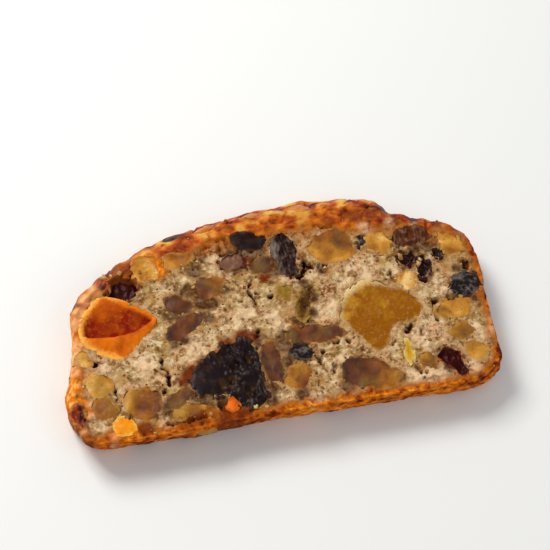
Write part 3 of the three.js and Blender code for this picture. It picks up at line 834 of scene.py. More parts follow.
for number, (first, second, heading) in WALNUTS.items():
    node = f"walnut_{number}"
    in_crust = number >= FIRST_IN_CRUST
    crowded = number < FIRST_BURIED and number not in SMALL_NUTS
    thing, points, rim = bedded(node, proud=-0.02, rounds=4 if in_crust else 3, voxel=NUT_VOXEL,
                                swell=NUT_SWELL if crowded else BED_SWELL)
    if in_crust:
        points = pressed_in(node, points)
    tone = tone_across(points, first, second, heading)
    for x, y, radius, own in KERNEL_MARKS.get(number, []):
        tone += (own - tone) * reach(points, grid(x, y), radius * PATCH_FADED)
    push = 0.2 * lumps(points, 2.6, seed=number) + 0.06 * lumps(points, 0.8, seed=number + 1)
    keep(thing, points, push * (0.4 + 0.6 * open_face(points)))
    mark(thing, "tone", tone)
    mark(thing, "rim", rim)
print(len(WALNUTS), "kernels,", sum(triangles(p) for p in pieces.values()), "triangles")

# %% [markdown]
# ### Raisins and sultanas
# A raisin is a dried grape: a thin dark skin in sharp wrinkles round a sticky inside. Ridged
# noise folds its surface. Where the knife tore one out it leaves a dark hollow. Sultanas are the
# pale kind, more swollen from baking, with a softer skin.

# %% Raisins and sultanas
# tone from 0, blue-black, through 0.5, dark brown, to 1, red-brown; how deep it wrinkles; and
# how far its middle lies below the cut face
RAISINS = {
    1: (0.05, 0.26, 0.0), 2: (0.10, 0.10, 0.0), 3: (0.62, 0.30, 0.0), 4: (0.40, 0.34, 1.2),
    5: (0.40, 0.34, 1.2), 6: (0.30, 0.12, 0.8), 7: (0.05, 0.10, 0.3), 8: (0.95, 0.30, 0.3),
    9: (0.30, 0.22, 0.0), 10: (0.45, 0.22, 0.0), 11: (0.10, 0.14, 0.0),
}
SULTANAS = {1: (0.15, 0.10, 0.0), 2: (0.85, 0.26, 0.2), 3: (0.50, 0.20, 0.0)}
ON_CRUST, LONG_TORN, BURST = 11, 3, 8  # raisins that differ
BURST_DARK = (-51, -47)                # the burst one is darkest on the inner side of these x
BURST_COVER = (-45.6, 6.6, 2.4)        # and crust lies over it here: x, y, radius
COVER_WIDTH = 1.6


def sunk(points, rim, depth):
    """Lowers the middle of the upper cut face into a hollow of this depth."""
    top = ease(points[:, 2], TOP - 2.5, TOP - 0.5)
    lowered = points.copy()
    lowered[:, 2] -= top * depth * ease(rim, 0.3, 1.5)
    return lowered


for kind, table in (("raisin", RAISINS), ("sultana", SULTANAS)):
    for number, (tone, wrinkle, depth) in table.items():
        node = f"{kind}_{number}"
        thing, points, rim = bedded(node)
        points = pressed_in(node, points) if number == ON_CRUST else sunk(points, rim, depth)
        put(thing, points)
        stretch = (0.7, 2.2, 1.2) if number == LONG_TORN else (1, 1, 1.4)
        folds = wrinkle * lumps(points, 1.5, stretch=stretch, seed=number, ridged=True)
        keep(thing, points, folds - 0.35 * wrinkle)
        if number == BURST:
            tone *= 1 - ease(points[:, 0] - SHIFT[0], *BURST_DARK)
            rim = rim - COVER_WIDTH * spots(points, [BURST_COVER])
        mark(thing, "tone", tone * np.ones(len(points)))
        mark(thing, "rim", rim)
        mark(thing, "fold", folds / wrinkle)
print(len(RAISINS) + len(SULTANAS), "dried grapes")

# %% [markdown]
# ### Dates, fig and peel
# A date is sticky brown flesh in a darker skin, and it tore out of its bed under the knife.
# Two dates lie sunk in their hollows and are painted near black-red: partly their own skin,
# partly painted shade. The fig was cut along its fibres, which stand up as fine ridges. The
# peel is candied orange rind, cut into small angular dice that stand a little proud.

# %% Dates, fig and peel
DATES = {1: (0.20, 2.0), 2: (0.9, 0.3), 3: (0.25, 0.9)}  # tone and depth of the hollow
OPEN_DATE = 2
DATE_SKIN = (-3.2, 39.4, 4.0)  # the open date's skin was cut at a slant here, so it shows wider
DATE_COVERS = [(-32.0, 42.4, 4.6), (-36.6, 41.0, 3.0)]  # crumb lies over a date at these places
FIG_DARK_END = (5.2, 8.2)      # the fig turns from flesh to skin between these x
PEELS = {1: 0.30, 2: 1.0, 3: 0.30, 4: 0.5}              # tone
PEEL_PROUD, PEEL_SWELL = 0.3, 0.45

for number, (tone, depth) in DATES.items():
    thing, points, rim = bedded(f"date_{number}")
    points = sunk(points, rim, depth)
    put(thing, points)
    folds = lumps(points, 1.8, seed=number + 30, ridged=True)
    keep(thing, points, 0.3 * folds - 0.15)
    wide = 0.9 * spots(points, [DATE_SKIN])
    open_flesh = ease(rim, 0.6 + wide, 1.2 + wide) if number == OPEN_DATE else np.ones(len(points))
    mark(thing, "tone", tone * open_flesh)
    covered = sum(reach(points, grid(x, y), radius) for x, y, radius in DATE_COVERS)
    mark(thing, "rim", rim - 2.0 * covered * (1 + lumps(points, 1.2, seed=51)))
    mark(thing, "fold", folds)

thing, points, rim = bedded("fig_1")
fibres = lumps(points, 0.7, stretch=(1, 4, 3), seed=41, ridged=True)
keep(thing, points, 0.3 * fibres - 0.2)
mark(thing, "fold", fibres)
mark(thing, "rim", rim)
mark(thing, "tone", 1 - ease(points[:, 0] - SHIFT[0], *FIG_DARK_END))

for number, tone in PEELS.items():
    thing, points, rim = bedded(f"peel_{number}", proud=PEEL_PROUD, rounds=1, ragged=0.12,
                                swell=PEEL_SWELL)
    keep(thing, points, 0.16 * lumps(points, 1.8, seed=number + 50) - 0.2)
    mark(thing, "tone", tone + 0.25 * lumps(points, 3.0, seed=number))
    mark(thing, "rim", rim)
print(len(DATES) + 1 + len(PEELS), "more pieces")

# %% [markdown]
# ### Prunes
# The largest prune lies open: a smooth taut lobe of skin on one side, torn fibres on the other,
# and a hollow where its stone was. The lobe is swelled, the fibres are ridged noise that runs
# across the piece, and the hollow is pressed in.

# %% Prunes
PRUNE_LOBE = grid(-17.4, 9.8)
PRUNE_HOLLOWS = [(-8.0, 5.6, 2.6), (-11.6, 8.4, 2.6), (-14.2, 8.0, 1.8), (-10.0, 12.6, 2.0),
                 (-7.0, 14.0, 2.0)]
PRUNE_FLESH = (-13.8, 8.5, 1.9)  # brown flesh lies bare beside the stone's hollow
LOBE_RISE, HOLLOW_FALL = 0.5, 1.3
PRUNE_SWELL = 1.1

thing, points, rim = bedded("prune_1", proud=LEVEL, swell=PRUNE_SWELL)
face = open_face(points) * (points[:, 2] > TOP / 2)
torn = 1 - reach(points, PRUNE_LOBE, 8.5)
torn = ease(torn, 0.2, 0.8)
hollow = spots(points, PRUNE_HOLLOWS)
points[:, 2] += face * (LOBE_RISE * reach(points, PRUNE_LOBE, 6.5) - HOLLOW_FALL * hollow)
put(thing, points)
fibres = lumps(points, 1.3, stretch=(0.9, 1.6, 1), seed=61, ridged=True)
coarse = lumps(points, 2.6, seed=63)
keep(thing, points, torn * (0.28 * fibres + 0.5 * coarse) + 0.1 * lumps(points, 3, seed=62) - 0.1)
# painted sheen: the smooth lobe takes the bloom's blue-grey in soft patches, through the fold mark
sheen = 0.7 * ease(lumps(points, 3.4, seed=65), 0.0, 0.7)
mark(thing, "fold", fibres * torn * ease(coarse, -0.1, 0.5) + (1 - torn) * sheen)
mark(thing, "rim", rim)
flesh = 0.8 * hollow * ease(lumps(points, 1.6, seed=64), -0.2, 0.4)
mark(thing, "tone", face * (flesh + 0.9 * spots(points, [PRUNE_FLESH])))

for number in (2, 3):
    thing, points, rim = bedded(f"prune_{number}", proud=LEVEL, rounds=1, ragged=0.1)
    folds = lumps(points, 2.4, seed=60 + number)
    keep(thing, points, 0.16 * folds - 0.1)
    mark(thing, "fold", 0.6 * folds)
    mark(thing, "rim", rim)
    mark(thing, "tone", 0.5 * (1 - ease(rim, 0.3, 1.0)))
print("prunes:", [triangles(pieces[f"prune_{n}"]) for n in (1, 2, 3)], "triangles")

# %% [markdown]
# ### Apricots
# A dried apricot is a collapsed half fruit, so the knife meets a fold. The one at the end of the
# slice lies open: a hollow slopes down to the fold, and the other wall of the fruit stands up in
# front of it as a lip. The hollow's depth is worked out from how far a vertex is above the fold
# line. Lowering a flat sheet this far stretches its faces, so the piece is remeshed afterwards.

# %% Apricots
FOLD_LINE = [grid(-45.6, 26.4), grid(-42, 25.3), grid(-37, 24.7), grid(-32, 25.2), grid(-26.6, 27.8)]
HOLLOW_DEPTH = 2.2
LIP_HEIGHT = 0.5
OPEN_PROUD = 0.16                # the open one stands out this far, with a clean edge
FOLD_CLOSES = (-38, -30)         # the fold closes between these x
LIP_FOOT = (-34.5, 20.7, 3.4)    # moist all through here, at the lip's foot
FRUIT_TOP = (-37.4, 35.2, 3.0)   # and here, at the fruit's top


def above_fold(points):
    """How far each vertex is beyond the fold line, towards the dome, in millimetres."""
    line = np.array(FOLD_LINE)
    return points[:, 1] - np.interp(points[:, 0], line[:, 0], line[:, 1])


def hollow_share(points, rim):
    """How deep the hollow is at each vertex, from 0 to 1: deepest just behind the fold."""
    beyond = above_fold(points)
    return ease(beyond, -0.15, 0.3) * (1 - ease(beyond, 0.5, 9.5)) * ease(rim, 0.5, 3.2)


def distance_from(spread, points):
    """How far each point is from the nearest of the spread points."""
    finder = kdtree.KDTree(len(spread))
    for index, place in enumerate(spread):
        finder.insert(place, index)
    finder.balance()
    return np.array([finder.find(p)[2] for p in points])


thing, points, rim = bedded("apricot_1", proud=OPEN_PROUD, ragged=0.04, voxel=APRICOT_VOXEL)
face = ease(points[:, 2], TOP - 5, TOP)
beyond = above_fold(points)
lip = (1 - ease(beyond, -0.1, 0.25)) * ease(beyond, -3.4, -0.3)
points[:, 2] += face * (LIP_HEIGHT * lip - HOLLOW_DEPTH * hollow_share(points, rim))
points[:, 1] += face * 0.5 * lip * ease(beyond, -1.0, -0.1)
put(thing, points)
outline = points[(rim < 0.3) & (points[:, 2] > TOP - 1)]
modify(thing, "REMESH", mode="VOXEL", voxel_size=APRICOT_VOXEL * MM, use_smooth_shade=True)
modify(thing, "SMOOTH", factor=0.5, iterations=4)
points = places(thing)
rim = distance_from(outline, points)
creases = lumps(points, 1.5, stretch=(1.0, 2.2, 1), seed=71)
points = keep(thing, points, 0.1 * creases + 0.04 * lumps(points, 0.6, seed=74))
beyond = above_fold(points)
behind = ease(beyond, -0.1, 0.3)
# painted shade: the hollow turns deeper red towards the fold, in front of the lip, over its own colour
shadow = 0.85 - 0.5 * ease(beyond, 4.5, 10.0) + 0.35 * (1 - ease(beyond, 0.5, 2.6))
tip = ease(points[:, 0] - SHIFT[0], *FOLD_CLOSES)
lip_shade = (0.16 + 0.3 * tip) * ease(rim, 0.5, 2.5)
moist = spots(points, [LIP_FOOT]) + 0.6 * spots(points, [FRUIT_TOP])
deep = behind * shadow * ease(rim, 0.5, 1.8) + (1 - behind) * lip_shade
mark(thing, "deep", deep + 0.4 * moist)
mark(thing, "rim", rim + 1.6 * np.maximum(tip, moist))
print("open apricot:", triangles(thing), "triangles, deepest", HOLLOW_DEPTH, "mm")

# %% [markdown]
# The other two apricots were cut through the flesh, which is brownish amber. One dried out from
# its upper side, so its pale rim is widest there and fades round it, and its flesh is lighter in
# a few clouded places.

# %% Apricots cut through the flesh
DRIED_SIDE = (21.2, 30.0, 16)  # the pale rim is widest here and fades over this radius
CLOUDED = [(21.4, 24.4, 3.6), (24.6, 27.6, 2.6), (19.4, 21.0, 2.4), (29.6, 22.4, 2.0)]

for number in (2, 3):
    thing, points, rim = bedded(f"apricot_{number}", proud=LEVEL, rounds=5, ragged=0.1, voxel=APRICOT_VOXEL)
    grains = 0.08 * lumps(points, 0.7, seed=72) + 0.26 * lumps(points, 3.4, seed=73)
    keep(thing, points, grains - 0.1)
    moist = 1 - spots(points, [DRIED_SIDE])
    mark(thing, "deep", ease(rim + 2.4 * moist, 0.9, 3.2) * (1 - 0.6 * spots(points, CLOUDED)))
    mark(thing, "rim", rim + 1.8 * moist)
print("apricots:", [triangles(pieces[f"apricot_{n}"]) for n in (1, 2, 3)], "triangles")

# %% [markdown]
# ## Trim what is hidden
# Each piece is fine all round, but only its cut faces and the crust side show. A Decimate that
# acts below the cut faces keeps the object light.

# %% Thin the buried sides
WORTH_THINNING = 0.15  # share of a piece that has to be buried
THINNING = 0.75        # share of the buried faces that go

for node, thing in pieces.items():
    points = places(thing)
    far_in = np.array([skin.find_nearest(Vector(p) * MM)[3] for p in points]) / MM
    buried = (1 - open_face(points)) * ease(far_in, 0.8, 1.6)
    if buried.mean() > WORTH_THINNING:
        weigh(thing, "buried", buried)
        modify(thing, "DECIMATE", ratio=1 - THINNING * float(buried.mean()), vertex_group="buried",
               vertex_group_factor=8)
        thing.vertex_groups.clear()
print("all fruit and nuts:", sum(triangles(p) for p in pieces.values()), "triangles")

# %% [markdown]
# ### Loose crumbs
# Sawing through a cake sheds crumbs, and some stay on the cut face or hang at its edge. One
# crumb is modelled from a ball of eighty faces that is thinned to about fifty and roughened.
# The rest are copies of it, each turned and scaled by itself and set down on whatever lies below
# it, found by a ray from above. They are joined into one piece.

# %% Loose crumbs
CRUMBS = 220
CRUMB_SMALL, CRUMB_LARGE = 0.35, 1.1  # across, in millimetres
CRUMB_LIFT = 0.05    # how far its middle lies above the face, as a share of its size
CRUMB_TILT = 0.5     # radians at most, either way
CRUMB_TURN = 6.28    # radians at most, once round
DROP_HEIGHT = 20     # millimetres above the cut face, where the rays start
SEEN_DEPTH = 4       # crumbs can come to rest this far below the cut face
# the few large ones: x, y, size and tone, from 0 for pale crumb to 1 for crust
LARGE_CRUMBS = [(-36.4, 41.5, 2.0, 0.35), (-34.6, 41.9, 1.0, 0.2), (-27.5, 41.6, 1.2, 0.55),
                (-7.8, 0.9, 1.2, 0.1), (-5.1, 0.5, 1.1, 0.3), (17.7, 35.0, 0.9, 0.0),
                (-43.0, 3.4, 1.2, 0.3), (40.8, 32.1, 1.7, 0.25), (41.9, 33.2, 1.2, 0.2),
                (37.0, 34.9, 1.9, 0.5), (-32.4, 42.0, 1.5, 0.5), (-18.6, 1.0, 1.3, 0.5)]


def one_crumb():
    """A rough ball, 1 mm across, of a few dozen faces."""
    bpy.ops.object.select_all(action="DESELECT")
    bpy.ops.mesh.primitive_ico_sphere_add(subdivisions=2, radius=0.5 * MM)
    made = bpy.context.object
    bpy.ops.object.mode_set(mode="EDIT")
    bpy.ops.transform.vertex_random(offset=0.3 * MM, normal=0.6, seed=5)
    bpy.ops.object.mode_set(mode="OBJECT")
    modify(made, "DECIMATE", ratio=0.62)
    return made


def seen_from_above(things):
    """The faces that look up, of several pieces, as one tree for rays from above."""
    corners, faces = [], []
    for thing in things:
        faces += [tuple(i + len(corners) for i in p.vertices) for p in thing.data.polygons
                  if p.normal.z > 0.1 and p.center.z > (TOP - SEEN_DEPTH) * MM]
        corners += [v.co.copy() for v in thing.data.vertices]
    return BVHTree.FromPolygons(corners, faces)


pattern = one_crumb()
bread, fruit = seen_from_above([cake]), seen_from_above(pieces.values())
draw = random.Random(29)
wanted = [(*grid(x, y), size, tone, True) for x, y, size, tone in LARGE_CRUMBS]
for _ in range(CRUMBS):
    size = CRUMB_SMALL + (CRUMB_LARGE - CRUMB_SMALL) * draw.random() ** 3
    wanted.append((draw.uniform(SLICE_LOW[0], SLICE_HIGH[0]),
                   draw.uniform(SLICE_LOW[1], SLICE_HIGH[1]), size, draw.random(), False))
copies = []
for x, y, size, tone, anywhere in wanted:
    tilts = [draw.uniform(-CRUMB_TILT, CRUMB_TILT) for _ in range(2)]
    turn = Euler([*tilts, draw.uniform(0, CRUMB_TURN)])
    shape = Matrix.Diagonal((size, size * draw.uniform(0.6, 0.9), size * draw.uniform(0.4, 0.6), 1))
    above = Vector((x, y, TOP + DROP_HEIGHT)) * MM
    on_bread, on_fruit = (tree.ray_cast(above, Vector((0, 0, -1)))[0] for tree in (bread, fruit))
    # a small crumb shows only on the cake: on sticky fruit it soaks and turns dark
    if not anywhere and (on_bread is None or (on_fruit is not None and on_fruit.z > on_bread.z)):
        continue
    hits = [hit for hit in (on_bread, on_fruit) if hit is not None]
    rest = max(hits, key=lambda hit: hit.z) + Vector((0, 0, CRUMB_LIFT * size * MM))
    crumb = pattern.copy()
    crumb.data = pattern.data.copy()
    bpy.context.scene.collection.objects.link(crumb)
    crumb.data.transform(Matrix.Translation(rest) @ turn.to_matrix().to_4x4() @ shape)
    mark(crumb, "tone", np.full(len(crumb.data.vertices), tone))
    copies.append(crumb)
bpy.data.objects.remove(pattern)
only(copies[0])
for crumb in copies:
    crumb.select_set(True)
bpy.ops.object.join()
loose = bpy.context.object
loose.name = "loose_crumbs"
loose.data.name = "loose_crumbs"
for face in loose.data.polygons:
    face.use_smooth = True
print(len(copies), "loose crumbs,", triangles(loose), "triangles")

# %% [markdown]
# ## Finishes
# Every pattern below is worked out from the place in the slice, in millimetres, so a noise of
# scale 0.5 has clouds 2 mm wide. Colours are laid over each other like thin washes, each as
# strong as a pattern of its own, because one ramp can't turn warmer here and greener there.
#
# ### Crumb
# The crumb is baked flour, egg and butter: pale, matt and mottled, brown between its grains. Four
# noises of different sizes give it patches, a warm or greenish cast, clouds and grains.

# %% The crumb's pattern
MIXED = {"out": 2, "data_type": "RGBA"}  # a Mix node that mixes colours, and its colour output
PALE_DOUGH, WARM_DOUGH = "#A48250", "#C4A074"


def in_millimetres(tree):
    """The place in the slice, in millimetres, so that a noise scale of 1 means 1 mm."""
    here = add(tree, "TexCoord", out="Object")
    return add(tree, "VectorMath", {0: here, "Scale": 1 / MM}, operation="SCALE")


def layered(tree, colour, layers):
    """Lays further colours over the first one, each as strong as its share."""
    for share, over in layers:
        colour = add(tree, "Mix", {0: share, 6: colour, 7: over}, **MIXED)
    return colour


def crumb_pattern(tree, here):
    """The crumb's colour, and two of the noises it is made of: the clouds and the grains."""
    # patches 5.6 mm wide, casts 3.3 mm, clouds 2 mm and grains 0.8 mm
    patch = add(tree, "TexNoise", {"Vector": here, "Scale": 0.18, "Detail": 2.0})
    cast = add(tree, "TexNoise", {"Vector": here, "Scale": 0.3, "Detail": 3.0, "W": 5.0},
               noise_dimensions="4D")
    cloud = add(tree, "TexNoise", {"Vector": here, "Scale": 0.5, "Detail": 4.0, "Roughness": 0.6})
    grain = add(tree, "TexNoise", {"Vector": here, "Scale": 1.3, "Detail": 2.0, "Roughness": 0.6})
    patchy = add(tree, "MapRange", (patch, 0.40, 0.60))
    colour = add(tree, "Mix", {0: patchy, 6: PALE_DOUGH, 7: WARM_DOUGH}, **MIXED)
    colour = layered(tree, colour, [
        (add(tree, "MapRange", (cast, 0.52, 0.64, 0.0, 0.75)), "#D09C74"),
        (add(tree, "MapRange", (cast, 0.47, 0.34, 0.0, 0.45)), "#A48A46"),
        (add(tree, "MapRange", (cloud, 0.48, 0.37, 0.0, 0.9)), "#764A1C"),
        (add(tree, "MapRange", (cloud, 0.52, 0.63, 0.0, 0.9)), "#D8C098"),
        (add(tree, "MapRange", (grain, 0.44, 0.33, 0.0, 0.5)), "#643A14"),
        (add(tree, "MapRange", (grain, 0.57, 0.68, 0.0, 0.5)), "#E6D6BA"),
    ])
    return colour, cloud, grain


print("crumb from", PALE_DOUGH, "to", WARM_DOUGH)

# %% [markdown]
# Nuts oil the crumb and fruit stains it, but a stain never ends in a clean ring: it soaks along
# the bubbles. So each stored stain is multiplied by the clouds of the crumb before its colour is
# laid on. The specks are bits of skin and small open pores, thicker where nuts were broken.

# %% Stains and specks in the crumb
SPECK_REACH = 0.2  # how much further the specks spread among broken nuts


def soaked_places(tree, stored, cloud):
    """How strong the oil, the juice, the pale dough, the umber and the rust are at each place."""
    oily = add(tree, "Math", (stored["oil"], 0.6), operation="MULTIPLY")
    oily = add(tree, "Math", (oily, stored["ochre"]), operation="MAXIMUM")
    deeper = add(tree, "MapRange", (cloud, 0.40, 0.60, 1.0, 0.75))
    shares = {
        "oily": (oily, add(tree, "MapRange", (cloud, 0.36, 0.58, 0.2, 0.85))),
        "juicy": (stored["stain"], add(tree, "MapRange", (cloud, 0.40, 0.60, 0.8, 0.25))),
        "pale": (stored["pale"], add(tree, "MapRange", (cloud, 0.40, 0.56, 0.15, 0.75))),
        "umber": (stored["umber"], deeper),
        "rusty": (stored["rusty"], deeper),
    }
    return {name: add(tree, "Math", pair, operation="MULTIPLY") for name, pair in shares.items()}


def specks(tree, here, stored, grain):
    """How strong the dark specks are, and the brown meal of broken nuts between the grains."""
    # specks 1.25 mm apart, in drifts 1.7 mm wide
    speck = add(tree, "TexVoronoi", {"Vector": here, "Scale": 0.8, "Randomness": 1.0})
    speck = add(tree, "MapRange", (speck, 0.30, 0.14))
    drift = add(tree, "TexNoise", {"Vector": here, "Scale": 0.6, "Detail": 1.0})
    more = add(tree, "Math", (stored["flecked"], SPECK_REACH), operation="MULTIPLY")
    drift = add(tree, "Math", (drift, more), operation="ADD")
    drift = add(tree, "MapRange", (drift, 0.52, 0.6))
    meal = add(tree, "MapRange", (grain, 0.52, 0.42, 0.0, 0.8))
    return (add(tree, "Math", (speck, drift), operation="MULTIPLY"),
            add(tree, "Math", (meal, stored["flecked"]), operation="MULTIPLY"))


print("specks reach", SPECK_REACH, "further among broken nuts")

# %% [markdown]
# ### Crust
# The crust is the same dough, browned by the oven's heat. Against the tin it stays matt, orange
# with red-brown grit, darker at the left end and lighter at the right. The open dome is glazed,
# amber over the lumps, where the skin is tight, and red-brown in its hollows, with shade painted
# darker into its creases.

# %% Crust colours
TIN_BROWNS = [(0.30, "#561804"), (0.41, "#964006"), (0.50, "#BE620A"), (0.62, "#D87A14"),
              (0.76, "#F2AC58")]
DOME_BROWNS = [(0.24, "#3A0A02"), (0.38, "#782204"), (0.50, "#A6440A"), (0.63, "#BE6A16"),
               (0.80, "#D4A44A")]
CREASE_SHADE = 0.22  # how much darker a crease is painted, as shade


def tin_crust(tree, here, stored):
    """Orange crust with grit 2 mm wide, in patches 8 mm wide."""
    grit = add(tree, "TexNoise", {"Vector": here, "Scale": 0.55, "Detail": 3.0, "Roughness": 0.55})
    burnt = add(tree, "TexNoise", {"Vector": here, "Scale": 0.12, "Detail": 2.0})
    burnt = add(tree, "MapRange", (burnt, 0.38, 0.62, -0.1, 0.08))
    grit = add(tree, "Math", (grit, burnt), operation="ADD")
    left = add(tree, "MapRange", (stored["side"], -50.0, -40.0, 0.12, 0.0))
    grit = add(tree, "Math", (grit, left), operation="ADD")
    right = add(tree, "MapRange", (stored["side"], 44.0, 52.0, 0.0, 0.09))
    grit = add(tree, "Math", (grit, right), operation="SUBTRACT")
    return add(tree, "ValToRGB", (grit,), stops=TIN_BROWNS)


def dome_crust(tree, here, stored):
    """The dome's colour and its glaze value: patches 4 mm wide over its lumps, with painted
    shade in its creases and painted light near the table.
    """
    glaze = add(tree, "TexNoise", {"Vector": here, "Scale": 0.26, "Detail": 3.0, "Roughness": 0.5})
    glaze = add(tree, "MapRange", (glaze, 0.2, 0.8, 0.10, 0.90))
    lift = add(tree, "MapRange", (stored["swell"], -0.6, 1.0, -0.10, 0.12))
    glaze = add(tree, "Math", (glaze, lift), operation="ADD")
    glaze = add(tree, "Math", (glaze, stored["browning"]), operation="ADD")
    # painted shade in the creases between the dome's lumps
    crease_shade = add(tree, "Math", (stored["crevice"], CREASE_SHADE), operation="MULTIPLY")
    glaze = add(tree, "Math", (glaze, crease_shade), operation="SUBTRACT")
    return add(tree, "ValToRGB", (glaze,), stops=DOME_BROWNS), glaze


print("crust in", len(TIN_BROWNS), "browns beside the tin and", len(DOME_BROWNS), "on the dome")

# %% [markdown]
# ### Baked cake
# Browning works inwards from the skin and fades: thinly beside the tin, deeper under the dome,
# and further in some bays than in others. The whole is dry dough, so it hardly shines; only the
# dome's sugary glaze does. A little light enters the crumb and softens its shadows.

# %% Baked cake
TIN_FADE, DOME_FADE = 1.7, 3.6  # how far in the toasted crumb reaches past the crust, in mm


def browning(tree, here, stored, cloud):
    """How strong the toasted crumb is at each place, and the crust itself."""
    edge = add(tree, "MapRange", (cloud, 0.3, 0.7, 0.3, 2.7))
    edge = add(tree, "Math", (stored["inward"], edge), operation="SUBTRACT")
    bay = add(tree, "TexNoise", {"Vector": here, "Scale": 0.16, "Detail": 2.0})  # 6 mm wide
    bay = add(tree, "MapRange", (bay, 0.40, 0.60, -0.6, 1.6))
    bay = add(tree, "Math", (stored["dome"], bay), operation="MULTIPLY")
    edge = add(tree, "Math", (edge, bay), operation="SUBTRACT")
    fade = add(tree, "MapRange", (stored["dome"], 0.0, 1.0, TIN_FADE, DOME_FADE))
    return (add(tree, "MapRange", (edge, fade, 0.0, 0.0, 0.94)),
            add(tree, "MapRange", (edge, 0.1, -0.9)))


def surface(tree, colour, relief, strength, depth, inputs):
    """Ends a material: its fine relief, `depth` millimetres deep, and how light meets it."""
    bump = add(tree, "Bump", {"Height": relief, "Strength": strength, "Distance": depth * MM})
    shader = add(tree, "BsdfPrincipled", {"Base Color": colour, "Normal": bump, **inputs})
    add(tree, "OutputMaterial", {"Surface": shader})


def baked_cake():
    """Crumb inside, browned crust outside, on one surface."""
    material, tree = new_material("baked_cake_crumb_and_crust")
    here = in_millimetres(tree)
    stored = {name: add(tree, "Attribute", out="Fac", attribute_name=name) for name in cake_marks}
    colour, cloud, grain = crumb_pattern(tree, here)
    soaked = soaked_places(tree, stored, cloud)
    speck, meal = specks(tree, here, stored, grain)
    # painted shade in the pores and tears, darker the deeper they are pressed in
    pit = add(tree, "MapRange", (stored["pit"], 0.2, 1.2))
    toasted, browned = browning(tree, here, stored, cloud)
    dome_colour, glaze = dome_crust(tree, here, stored)
    crust = add(tree, "Mix", {0: stored["dome"], 6: tin_crust(tree, here, stored),
                              7: dome_colour}, **MIXED)
    flush = add(tree, "MapRange", (glaze, 0.3, 0.6, 0.4, 0.9))
    # painted highlight and lighter-baked crust in pink-orange, stronger where the glaze is lighter
    blush = add(tree, "Math", (stored["blush"], flush), operation="MULTIPLY")
    colour = layered(tree, colour, [
        (soaked["oily"], "#A2702C"), (soaked["pale"], "#E4CEB0"), (soaked["juicy"], "#6A3E18"),
        (speck, "#5E3216"), (meal, "#62360F"), (pit, "#421804"), (soaked["umber"], "#4A2812"),
        (toasted, "#A05812"), (browned, crust),
        (soaked["pale"], "#E4BE92"), (blush, "#ECA872"), (soaked["rusty"], "#6E2A06"),
    ])

    # the relief of the crumb: grains 0.4 mm and 0.8 mm wide, with the specks as pits
    fine = add(tree, "TexNoise", {"Vector": here, "Scale": 2.4, "Detail": 2.0})
    fine = add(tree, "Math", (fine, grain), operation="ADD")
    fine = add(tree, "Math", (fine, speck), operation="SUBTRACT")
    gloss = add(tree, "Math", (stored["dome"], browned), operation="MULTIPLY")
    smooth = add(tree, "MapRange", (browned, 0, 1, 0.5, 0.2))
    surface(tree, colour, fine, smooth, 0.3, {
        "Roughness": add(tree, "MapRange", (gloss, 0, 1, 0.85, 0.5)),
        "Coat Weight": add(tree, "MapRange", (gloss, 0, 1, 0.0, 0.18)), "Coat Roughness": 0.3,
        "IOR": 1.45, "Specular IOR Level": 0.08,
        "Subsurface Weight": 0.1, "Subsurface Radius": (1.0, 0.5, 0.2),
        "Subsurface Scale": 0.7 * MM})
    return material


cake.data.materials.append(baked_cake())
print("cake finished, from", len(cake_marks), "stored marks")

# %% [markdown]
# ### Walnut kernel
# Baked kernel is close-grained and oily: a waxy sheen, and one colour that runs smoothly into
# the next across the whole face, with the thin skin's mauve in places. The knife smeared crumb
# over its edge, so near the rim it takes the colour of its bed. The dark fruits do the same.
# The kernels in the dome's crust, and one that lies against it, were glazed with it.

# %% Walnut kernel
SMEAR = 0.7  # how strong the smeared crumb is at the very rim
KERNEL_TONES = [(0.0, "#E8C07A"), (0.2, "#CC9238"), (0.4, "#AC7222"), (0.6, "#8A5018"),
                (0.78, "#643820"), (1.0, "#44261C")]


def smeared(tree, here, colour, rim, bed):
    """The colour running into that of its bed along the rim, far in places and hardly in others."""
    cloud = add(tree, "TexNoise", {"Vector": here, "Scale": 0.5, "Detail": 3.0, "Roughness": 0.6})
    width = add(tree, "MapRange", (cloud, 0.38, 0.64, 0.2, 1.1))  # millimetres
    width = add(tree, "Math", (width, rim), operation="SUBTRACT")
    return layered(tree, colour, [(add(tree, "MapRange", (width, -0.3, 0.5, 0.0, SMEAR)), bed)])


def walnut_kernel(name, roughness, bed):
    """From cream through tan to mauve, by the tone that each vertex carries, in its bed's colour."""
    material, tree = new_material(name)
    here = in_millimetres(tree)
    tone, rim = (add(tree, "Attribute", out="Fac", attribute_name=n) for n in ("tone", "rim"))
    # blotches 4.5 mm wide, casts 6 mm and fine grain 0.8 mm
    blotch = add(tree, "TexNoise", {"Vector": here, "Scale": 0.22, "Detail": 1.5, "Distortion": 0.6})
    cast = add(tree, "TexNoise", {"Vector": here, "Scale": 0.17, "Detail": 1.0})
    fine = add(tree, "TexNoise", {"Vector": here, "Scale": 1.3, "Detail": 3.0})
    for uneven in (add(tree, "MapRange", (blotch, 0.3, 0.7, -0.2, 0.2)),
                   add(tree, "MapRange", (fine, 0.3, 0.7, -0.06, 0.06))):
        tone = add(tree, "Math", (tone, uneven), operation="ADD")
    colour = layered(tree, add(tree, "ValToRGB", (tone,), stops=KERNEL_TONES), [
        (add(tree, "MapRange", (cast, 0.50, 0.66, 0.0, 0.4)), "#866A26"),
        (add(tree, "MapRange", (cast, 0.46, 0.34, 0.0, 0.25)), "#9A5414"),
        (add(tree, "MapRange", (fine, 0.44, 0.32, 0.0, 0.5)), "#5A3014"),
    ])
    surface(tree, smeared(tree, here, colour, rim, bed), fine, 0.3, 0.25, {
        "Roughness": roughness, "IOR": 1.46, "Specular IOR Level": 0.16,
        "Subsurface Weight": 0.18, "Subsurface Radius": (1.0, 0.5, 0.2),
        "Subsurface Scale": 0.9 * MM})
    return material


